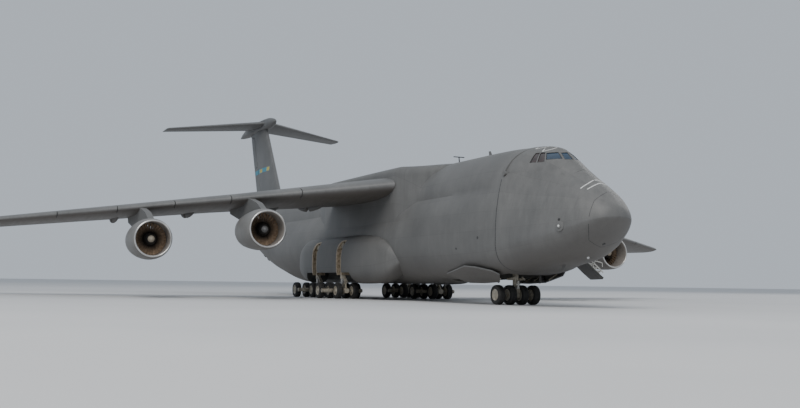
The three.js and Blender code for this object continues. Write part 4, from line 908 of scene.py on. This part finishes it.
# Wings. Long swept boxes with a slatted leading edge, flaps and an aileron behind, and a slight droop to the
# tip. Riveted skin in the same grey.
wing_kink, half_span = 13.3, 33.94
incidence, camber = math.radians(3.5), 0.012
wing_height, wing_droop, wing_sweep, tip_front = 8.74, 0.107, 0.534, -27.6
flap_hinge, aileron_hinge, slat_depth = 0.74, 0.76, 0.062
fractions = [(1 - math.cos(math.pi * k / 26)) / 2 for k in range(27)]
# Columns: distance out, chord, thickness ratio.
wing_rows = [(3.34, 12.6, 0.125), (13.3, 8.8, 0.115), (33.69, 4.75, 0.11), (33.8, 4.64, 0.1), (33.89, 4.45, 0.07),
             (33.94, 4.2, 0.025)]


def half_thickness(f, ratio):
    curve = 0.2969 * math.sqrt(f) - 0.126 * f - 0.3516 * f ** 2 + 0.2843 * f ** 3 - 0.1036 * f ** 4
    return 5 * ratio * curve + 0.0008


def foil(ratio, bend=0.0):
    top = [(f, half_thickness(f, ratio) + bend * math.sin(math.pi * f)) for f in reversed(fractions)]
    return top + [(f, -half_thickness(f, ratio) + bend * math.sin(math.pi * f)) for f in fractions[1:]]


def wing_line(y):
    return tip_front + wing_sweep * (half_span - y)


def wing_ring(y, chord, ratio, side=1, grow=0.0):
    ring = []
    for f, h in foil(ratio, camber):
        lift, back = h * chord + math.copysign(grow, h), f * chord - (grow if f == 0 else 0)
        ring.append((wing_line(y) - back * math.cos(incidence) + lift * math.sin(incidence), side * y,
                     wing_height - wing_droop * y - back * math.sin(incidence) + lift * math.cos(incidence)))
    return ring


def wing_row_at(y):
    for (ya, *a), (yb, *b) in zip(wing_rows, wing_rows[1:]):
        if y <= yb:
            t = (y - ya) / (yb - ya)
            return [p + t * (q - p) for p, q in zip(a, b)]
    return wing_rows[-1][1:]


def wing_point(y, f, skin=0.0):
    chord, ratio = wing_row_at(y)
    lift = (camber * math.sin(math.pi * f) + skin * half_thickness(f, ratio)) * chord
    return (wing_line(y) - f * chord * math.cos(incidence) + lift * math.sin(incidence), y,
            wing_height - wing_droop * y - f * chord * math.sin(incidence) + lift * math.cos(incidence))


def wing_loft(side, grow=0.0):
    stations = sorted({row[0] for row in wing_rows} | {5, 7, 9, 11, 15.5, 18, 21, 24, 27, 30, 32})
    return loft("wing", [wing_ring(y, *wing_row_at(y), side, grow) for y in stations])


# Slope of a moving surface's nose wedge, and the clear gap past each end of its hinge.
swing_slope, hinge_end = math.tan(math.radians(33)), 0.08


def hinge_ring(point, shape, depth, thick):
    return [tuple(point[k] + (dx if k == 0 else 0) + dn * depth * thick[k] for k in range(3)) for dx, dn in shape]


def hinge_wedge(a, b, thick, depth, reach):
    shape = [(-seat, 0), (-depth * swing_slope, 1), (-reach, 1), (-reach, -1), (-depth * swing_slope, -1)]
    return loft("wedge", [hinge_ring(a, shape, depth, thick), hinge_ring(b, shape, depth, thick)])


def hinge_cut(a, b, thick, depth, reach):
    along = (Vector(b) - Vector(a)).normalized() * hinge_end
    shape = [(0, 1), (-reach, 1), (-reach, -1), (0, -1)]
    return loft("cut", [hinge_ring(end, shape, depth, thick) for end in (Vector(a) - along, Vector(b) + along)])


def sided(points, side):
    return [(x, side * y, *rest) for x, y, *rest in points]


def flap_plan(inner, outer, gap):
    (xa, ya, _), (xb, yb, _) = wing_point(inner, flap_hinge), wing_point(outer, flap_hinge)

    def at(t, back):
        return xa + t * (xb - xa) - back, ya + t * (yb - ya)
    if not gap:
        return [at(0, 0), at(1, 0), at(1, 6), at(0, 6)]
    front = [at(t + dt, g) for t in (0.12, 0.5, 0.88) for dt, g in
             ((-0.02, gap), (-0.02, seat), (0.02, seat), (0.02, gap))]
    return [at(0, gap)] + front + [at(1, gap), at(1, 6), at(0, 6)]


wing_paint = skin_finish("wing_grey", (0.18, 0.18, 0.178), (0.135, 0.136, 0.135), (1.1, 0.75), (0.15, 1.4, 1.4),
                         0.48, 0.85, around=False)
# The track canoes under the wing take a darker copy of the wing grey: painted shade beneath the wing.
shaded_track_paint = skin_finish("track_grey_shaded", (0.1, 0.096, 0.09), (0.06, 0.057, 0.053), (0.8, 0.5), (0.2, 1.2, 1.2),
                         0.55, 0.6, around=False)
# Columns: name, inner end, outer end, lean of the inner end with height, which lets the flap swing clear.
flap_spans = [("inboard_flap", 4.1, 13.1, 0.21), ("outboard_flap", 13.5, 23.0, 0.3)]
slat_span = (5, 33.4)


def slat_plan(grow):
    ends = [(wing_line(y) + 1, y + s * grow) for y, s in ((slat_span[0], -1), (slat_span[1], 1))]
    return ends + [(wing_point(slat_span[1], slat_depth)[0] - grow, slat_span[1] + grow),
                   (wing_point(wing_kink, slat_depth)[0] - grow, wing_kink),
                   (wing_point(slat_span[0], slat_depth)[0] - grow, slat_span[0] - grow)]


# Station, half width and depth of a track's canoe, as fractions of the chord and metres, fore part and tail.
canoe_fore = [(0.44, 0.02, 0.02), (0.47, 0.09, 0.12), (0.53, 0.14, 0.24), (0.61, 0.17, 0.33), (0.68, 0.18, 0.37),
              (0.725, 0.18, 0.38)]
canoe_tail = [(0.765, 0.17, 0.05), (0.785, 0.18, 0.2), (0.81, 0.18, 0.36), (0.86, 0.16, 0.33), (0.92, 0.12, 0.24),
              (0.97, 0.06, 0.12), (0.99, 0.02, 0.03)]
for side, word in ((1, "left"), (-1, "right")):
    wing = wing_loft(side)
    cuts = [plan_prism(sided(flap_plan(inner - running, outer + running, 0), side)) for _, inner, outer, _ in flap_spans]
    aileron_line = sided([wing_point(y, aileron_hinge) for y in (23.5, 31.2)], side)
    cuts.append(hinge_cut(*aileron_line, (0, 0, 1), 0.5, 3.5))
    cuts.append(plan_prism(sided(slat_plan(seat), side)))
    combine(wing, cuts)
    finish_piece(wing, f"wing_skin_{word}", [wing_paint], "airframe", [f"wing_{word}"], 35)
    for name, inner, outer, lean in flap_spans:
        flap = combine(wing_loft(side), [plan_prism(sided(flap_plan(inner, outer, running / 2), side))], "INTERSECT")
        height = wing_point(inner, flap_hinge, -1)[2]
        leaning = [(inner - 1, height - 2), (inner, height - 2), (inner, height), (inner + 2 * lean, height + 2),
                   (inner - 1, height + 2)]
        panel_cuts = [box(-45, -10, *sorted((side * (y - 0.015), side * (y + 0.015))), wing_point(y, 0.8)[2] - 0.02, 12)
                      for y in (inner + (outer - inner) / 3, inner + (outer - inner) * 2 / 3)]
        combine(flap, [prism("yz", [(side * y, z) for y, z in leaning], -40, 0)] + panel_cuts)
        finish_piece(flap, f"{name}_skin_{word}", [wing_paint], f"{name}_{word}", [f"{name}_{word}"], 35)
    aileron = combine(wing_loft(side), [hinge_wedge(*aileron_line, (0, 0, 1), 0.5, 3.5)], "INTERSECT")
    finish_piece(aileron, f"aileron_skin_{word}", [wing_paint], f"aileron_{word}", [f"aileron_{word}"], 35)
    slat = combine(wing_loft(side), [plan_prism(sided(slat_plan(0), side))], "INTERSECT")
    combine(slat, [plan_prism(sided([(wing_line(y) + 1, y - 0.03), (wing_line(y) + 1, y + 0.03),
                                     (wing_line(y) - 2.4, y + 0.03), (wing_line(y) - 2.4, y - 0.03)], side))
                   for y in (9.3, 13.9, 17.6, 21.4, 25.4, 29.4)])
    finish_piece(slat, f"slat_skin_{word}", [wing_paint], "airframe", [f"slat_{word}"], 35)
    # Flap tracks. Each hangs in a long canoe under the wing, and its tail goes down with the flap.
    for i, y in enumerate((6.3, 9.6, 15.6, 20.9)):
        for part, body, rows in (("fore", "airframe", canoe_fore),
                                 ("tail", f"{flap_spans[i // 2][0]}_{word}", canoe_tail)):
            rings = []
            for f, half, depth in rows:
                px, _, pz = wing_point(y, f, -1)
                under = [(half * math.cos(k * math.pi / 12), -depth * math.sin(k * math.pi / 12)) for k in range(13)]
                rings.append([(px, side * (y + across), pz + down + 0.03) for across, down in under])
            finish_piece(loft("canoe", rings), f"track_{part}_{i + 1}_{word}", [shaded_track_paint], body, sharp=35)

# Engines. Each cowl is a smooth barrel with a polished lip, a pale lined duct and a bare metal core with an
# exhaust plug. Thin guide vanes stand behind the fan, and a pylon hangs the whole from the wing.
def metal(name, dark, light, roughness, metallic, scale=7.0):
    return worn(name, [(0.32, dark), (0.7, light)], scale, 8.0, (roughness + 0.12, roughness - 0.08), 0.65, 0.12,
                metallic)


cowl_paint = skin_finish("cowl_grey", (0.24, 0.235, 0.225), (0.17, 0.166, 0.16), (0.9, 0.55), (0.3, 1.2, 1.2),
                         0.42, 0.5, around=False)
lip_metal = metal("lip_metal", (0.5, 0.49, 0.47), (0.72, 0.71, 0.69), 0.28, 0.85)
duct_lining = metal("duct_lining", (0.21, 0.19, 0.17), (0.33, 0.305, 0.28), 0.5, 0.1, 4.0)
core_metal = metal("core_metal", (0.11, 0.095, 0.08), (0.27, 0.245, 0.215), 0.42, 0.75)
fan_metal, tree, shader, place = new_material("fan_bronze")
crosswise = shade(tree, "VectorMath", {0: place, 1: (0, 1, 1)}, operation="MULTIPLY").outputs[0]
from_axis = shade(tree, "VectorMath", {0: crosswise}, operation="LENGTH").outputs["Value"]
grime = noise(tree, place, 9.0, 8.0, 0.65)
bronze = shade(tree, "MixRGB", {
    "Fac": shade(tree, "MapRange", {"Value": from_axis, "From Min": 0.24, "From Max": 0.46}).outputs[0],
    "Color1": (0.03, 0.027, 0.025, 1),
    "Color2": ramp(tree, grime, [(0.32, (0.2, 0.14, 0.09)), (0.7, (0.5, 0.36, 0.25))])})
feed(tree, shader, {
    "Base Color": bronze.outputs["Color"], "Metallic": 0.25,
    "Roughness": shade(tree, "MapRange", {"Value": grime, "To Min": 0.55, "To Max": 0.35}).outputs[0]})
spinner_beige = metal("spinner_beige", (0.3, 0.26, 0.2), (0.45, 0.4, 0.32), 0.5, 0.0, 12.0)
spinner_grey = metal("spinner_grey", (0.1, 0.1, 0.1), (0.2, 0.2, 0.2), 0.4, 0.0, 12.0)
hub_black = metal("hub_black", (0.012, 0.012, 0.012), (0.03, 0.03, 0.03), 0.45, 0.0, 12.0)
outer_profile = [(1.2, -4.1), (1.24, -4.1), (1.3, -3.65), (1.36, -3.1), (1.42, -2.4), (1.458, -1.7), (1.46, -1.3),
                 (1.452, -0.95), (1.425, -0.55), (1.385, -0.28), (1.36, -0.16), (1.33, -0.08), (1.31, -0.045)]
lip_profile = [(1.3, -0.028), (1.27, -0.005), (1.245, 0), (1.22, -0.01), (1.207, -0.025)]
duct_profile = [(1.198, -0.04), (1.182, -0.1), (1.168, -0.2), (1.162, -0.35), (1.168, -0.6), (1.188, -0.9), (1.19, -1.6),
                (1.2, -2.4), (1.2, -3.3)]
core_profile = [(0.3, -1.62), (0.42, -1.62), (0.47, -1.75), (0.62, -2.2), (0.78, -2.75), (0.9, -3.2), (0.935, -3.7),
                (0.93, -4.2), (0.86, -4.8), (0.78, -5.4), (0.69, -5.9), (0.6, -6.3), (0.57, -6.29), (0.56, -5.95)]
plug_profile = [(0.42, -5.9), (0.42, -6.2), (0.4, -6.4), (0.33, -6.75), (0.2, -7.08), (0.08, -7.27), (0, -7.3)]
engines = [("inner", -12, 12.6, 4.9, spinner_grey), ("outer", -15.8, 19.7, 4.14, spinner_beige)]
for name, x, y, z, nose_finish in engines:
    for side, word in ((1, "left"), (-1, "right")):
        cowl_profile = outer_profile + lip_profile + duct_profile
        slots = [0] * (len(outer_profile) - 1) + [1] * len(lip_profile) + [2] * (len(duct_profile)) + [0]
        parts = [turned(cowl_profile, 96, "x", (0, 0, 0), slots),
                 turned([(0, -1.63)] + core_profile + [(0.42, -5.95), (0, -5.95)], 96, "x", (0, 0, 0),
                        [3] * (len(core_profile) + 2)),
                 turned([(0, -5.9)] + plug_profile, 64, "x", (0, 0, 0), [3] * len(plug_profile))]
        vanes = bmesh.new()
        for i in range(36):
            a = 2 * math.pi * i / 36
            turn = Matrix.Rotation(a, 4, "X")
            corners = [(-2.15 - dx, dy + dx * 0.15, r) for r, dx, dy in
                       [(0.58, 0, -0.008), (0.58, 0.3, -0.004), (0.58, 0.3, 0.004), (0.58, 0, 0.008)]]
            corners += [(px, py, 1.21) for px, py, _ in corners]
            points = [vanes.verts.new(turn @ Vector(c)) for c in corners]
            for quad in ((0, 1, 2, 3), (4, 7, 6, 5), (0, 4, 5, 1), (1, 5, 6, 2), (2, 6, 7, 3), (3, 7, 4, 0)):
                vanes.faces.new([points[q] for q in quad]).material_index = 3
        bmesh.ops.recalc_face_normals(vanes, faces=vanes.faces)
        vane_mesh = bpy.data.meshes.new("vanes")
        vanes.to_mesh(vane_mesh)
        vanes.free()
        mesh = merged("engine", parts + [vane_mesh])
        mesh.transform(Matrix.Translation(spot(x, side * y, z)) @ Matrix.Scale(0.5, 4))
        engine = new_piece("engine", mesh)
        finish_piece(engine, f"{name}_engine_body_{word}", [cowl_paint, lip_metal, duct_lining, core_metal], "airframe",
                     [f"{name}_engine_{word}"], 40)
        dress_node(f"{name}_pylon_{word}", body_paint)

        # Fan. Thirty twisted blades in a hub under a small cone.
        blades = bmesh.new()
        for i in range(30):
            turn = Matrix.Rotation(2 * math.pi * (i + 0.37) / 30, 4, "X")
            rings = []
            for t in (0, 0.25, 0.5, 0.75, 1):
                radius, twist, half = 0.3 + 0.853 * t, 0.65 + 0.4 * t, 0.105 + 0.02 * t
                ring = []
                for u, v in ((-1, 0), (-0.4, 0.011), (0.4, 0.012), (1, 0.003), (1, -0.003), (0.3, -0.006), (-0.4, -0.004)):
                    v = (v + 0.02 * (1 - u * u) * (1 - 0.5 * t))
                    ring.append(blades.verts.new(turn @ Vector((
                        -1.3 + u * half * math.cos(twist) - v * math.sin(twist),
                        side * (u * half * math.sin(twist) + v * math.cos(twist)), radius))))
                rings.append(ring)
            for a, b in zip(rings, rings[1:]):
                for k in range(7):
                    blades.faces.new([a[k], a[(k + 1) % 7], b[(k + 1) % 7], b[k]])
            blades.faces.new(rings[0])
            blades.faces.new(rings[-1])
        bmesh.ops.recalc_face_normals(blades, faces=blades.faces)
        blade_mesh = bpy.data.meshes.new("blades")
        blades.to_mesh(blade_mesh)
        blades.free()
        cone = turned([(0, -0.62), (0.03, -0.625), (0.12, -0.68), (0.24, -0.8), (0.34, -0.93), (0.41, -1.06), (0.44, -1.18),
                       (0.44, -1.56), (0, -1.56)], 64, "x", (0, 0, 0), [1] * 3 + [2] * 6)
        mesh = merged("fan", [blade_mesh, cone])
        mesh.transform(Matrix.Scale(0.5, 4))
        fan = new_piece("fan", mesh)
        fan.location = spot(x, side * y, z)
        fan_node = f"{name}_fan_{word}"
        finish_piece(fan, f"{name}_fan_rotor_{word}", [fan_metal, nose_finish, hub_black], fan_node, [fan_node],
                     40)

# Tail. A tall swept fin carries the stabiliser on its tip under a long bullet fairing. A plain band of blue and
# yellow paint crosses the fin and the rudder.
tail_paint = skin_finish("tail_grey", (0.165, 0.167, 0.168), (0.125, 0.127, 0.128), (1.3, 0.7), (1.2, 1.2, 0.15),
                         0.5, 0.4)
fin_low, fin_high = (9.3, -47.6, -56.5), (18.6 - seat, -54.1, -60.35)


def fin_edges(z):
    t = (z - fin_low[0]) / (fin_high[0] - fin_low[0])
    return [a + t * (b - a) for a, b in zip(fin_low[1:], fin_high[1:])]


def fin_loft(swell=1.0):
    rings = []
    for z in (fin_low[0], 11, 13, 15, 17, fin_high[0]):
        front, back = fin_edges(z)
        rings.append([(front - f * (front - back), swell * h * (front - back), z) for f, h in foil(0.12)])
    return loft("fin", rings)


rudder_line = []
for z in (10.9, 18.1):
    front, back = fin_edges(z)
    rudder_line.append((front - 0.7 * (front - back), 0, z))
rudder = combine(fin_loft(), [hinge_wedge(*rudder_line, (0, 1, 0), 0.8, 5)], "INTERSECT")
combine(rudder, [box(-62, -50, -2, 2, 14.46, 14.5)])
finish_piece(rudder, "rudder_skin", [tail_paint], "rudder", ["rudder"], 35)
fin = combine(fin_loft(), [hinge_cut(*rudder_line, (0, 1, 0), 0.8, 5), body_loft(-40, -59.7, -seat)])
finish_piece(fin, "fin_skin", [tail_paint], "airframe", ["fin"], 35)
# Plain band, a blue bar with two yellow fields, that runs back over the fin and the rudder.
band_height = 13.85


def band_bar(front, back, half_tall, swell):
    corners = [(front, -half_tall), (front, half_tall), (back, half_tall), (back, -half_tall)]
    return combine(fin_loft(swell), [prism("xz", [(x, band_height + dz) for x, dz in corners], -2, 2)], "INTERSECT")


for name, tone in (("band_blue", (0.05, 0.3, 0.42)), ("band_yellow", (0.62, 0.5, 0.12))):
    bar_paint = worn(name, [(0.3, tuple(0.7 * t for t in tone)), (0.6, tone)], 12.0, 5.0, (0.4, 0.65))
    for i, span in enumerate([(-51.6, -58.1, 0.24, 1.006)] if name == "band_blue" else
                             [(-51.65, -52.4, 0.22, 1.012), (-54.1, -55.3, 0.2, 1.012)]):
        bar = combine(band_bar(*span), [hinge_cut(*rudder_line, (0, 1, 0), 0.8, 5)])
        finish_piece(bar, f"fin_{name}_{i + 1}", [bar_paint], "airframe", sharp=35)
    if name == "band_blue":
        bar = combine(band_bar(*span), [hinge_wedge(*rudder_line, (0, 1, 0), 0.8, 5)], "INTERSECT")
        finish_piece(bar, "rudder_band_blue", [bar_paint], "rudder", sharp=35)
bullet_at = curve_through([(-51, 19.17, 0.03), (-51.12, 19.17, 0.14), (-51.7, 19.17, 0.36), (-53.2, 19.18, 0.6),
                           (-56, 19.19, 0.66), (-60.5, 19.12, 0.58), (-63.4, 18.98, 0.3), (-64.9, 18.9, 0.05)])
bullet_rings = []
for x in [-51, -51.04, -51.12, -51.25, -51.45, -51.7] + [-52 - 0.5 * i for i in range(25)] + [-64.5, -64.9]:
    z, r = bullet_at(x)
    bullet_rings.append([(x, r * math.sin(i * math.pi / 28), z + r * math.cos(i * math.pi / 28)) for i in range(56)])
bullet = combine(loft("bullet", bullet_rings), [box(-70, -40, -0.5, 0.5, 18.6, 19.85)], "INTERSECT")
finish_piece(bullet, "bullet_fairing", [tail_paint], "airframe", ["bullet"])
stab_rows = [(0.5006, -53.6, -60.3, 19.22, 0.1), (10.2, -58.08, -61.08, 18.47, 0.1), (10.4, -58.25, -61.1, 18.455, 0.07),
             (10.47, -58.5, -61.0, 18.45, 0.03)]


def stab_point(y, f):
    a, b = stab_rows[0], (10.47, -58.2, -61.1, 18.45)
    t = (y - a[0]) / (b[0] - a[0])
    front, back, z = (p + t * (q - p) for p, q in zip(a[1:4], b[1:4]))
    return front - f * (front - back), y, z


def stab_loft(side):
    return loft("stabiliser", [[(front - f * (front - back), side * y, z + h * (front - back)) for f, h in foil(ratio)]
                               for y, front, back, z, ratio in stab_rows])


for side, word in ((1, "left"), (-1, "right")):
    line = sided([stab_point(y, 0.7) for y in (0.95, 10.1)], side)
    elevator = combine(stab_loft(side), [hinge_wedge(*line, (0, 0, 1), 0.4, 4)], "INTERSECT")
    finish_piece(elevator, f"elevator_skin_{word}", [tail_paint], f"elevator_{word}", [f"elevator_{word}"],
                 35)
    stabiliser = combine(stab_loft(side), [hinge_cut(*line, (0, 0, 1), 0.4, 4)])
    finish_piece(stabiliser, f"stabiliser_skin_{word}", [tail_paint], "airframe", [f"stabiliser_{word}"],
                 35)
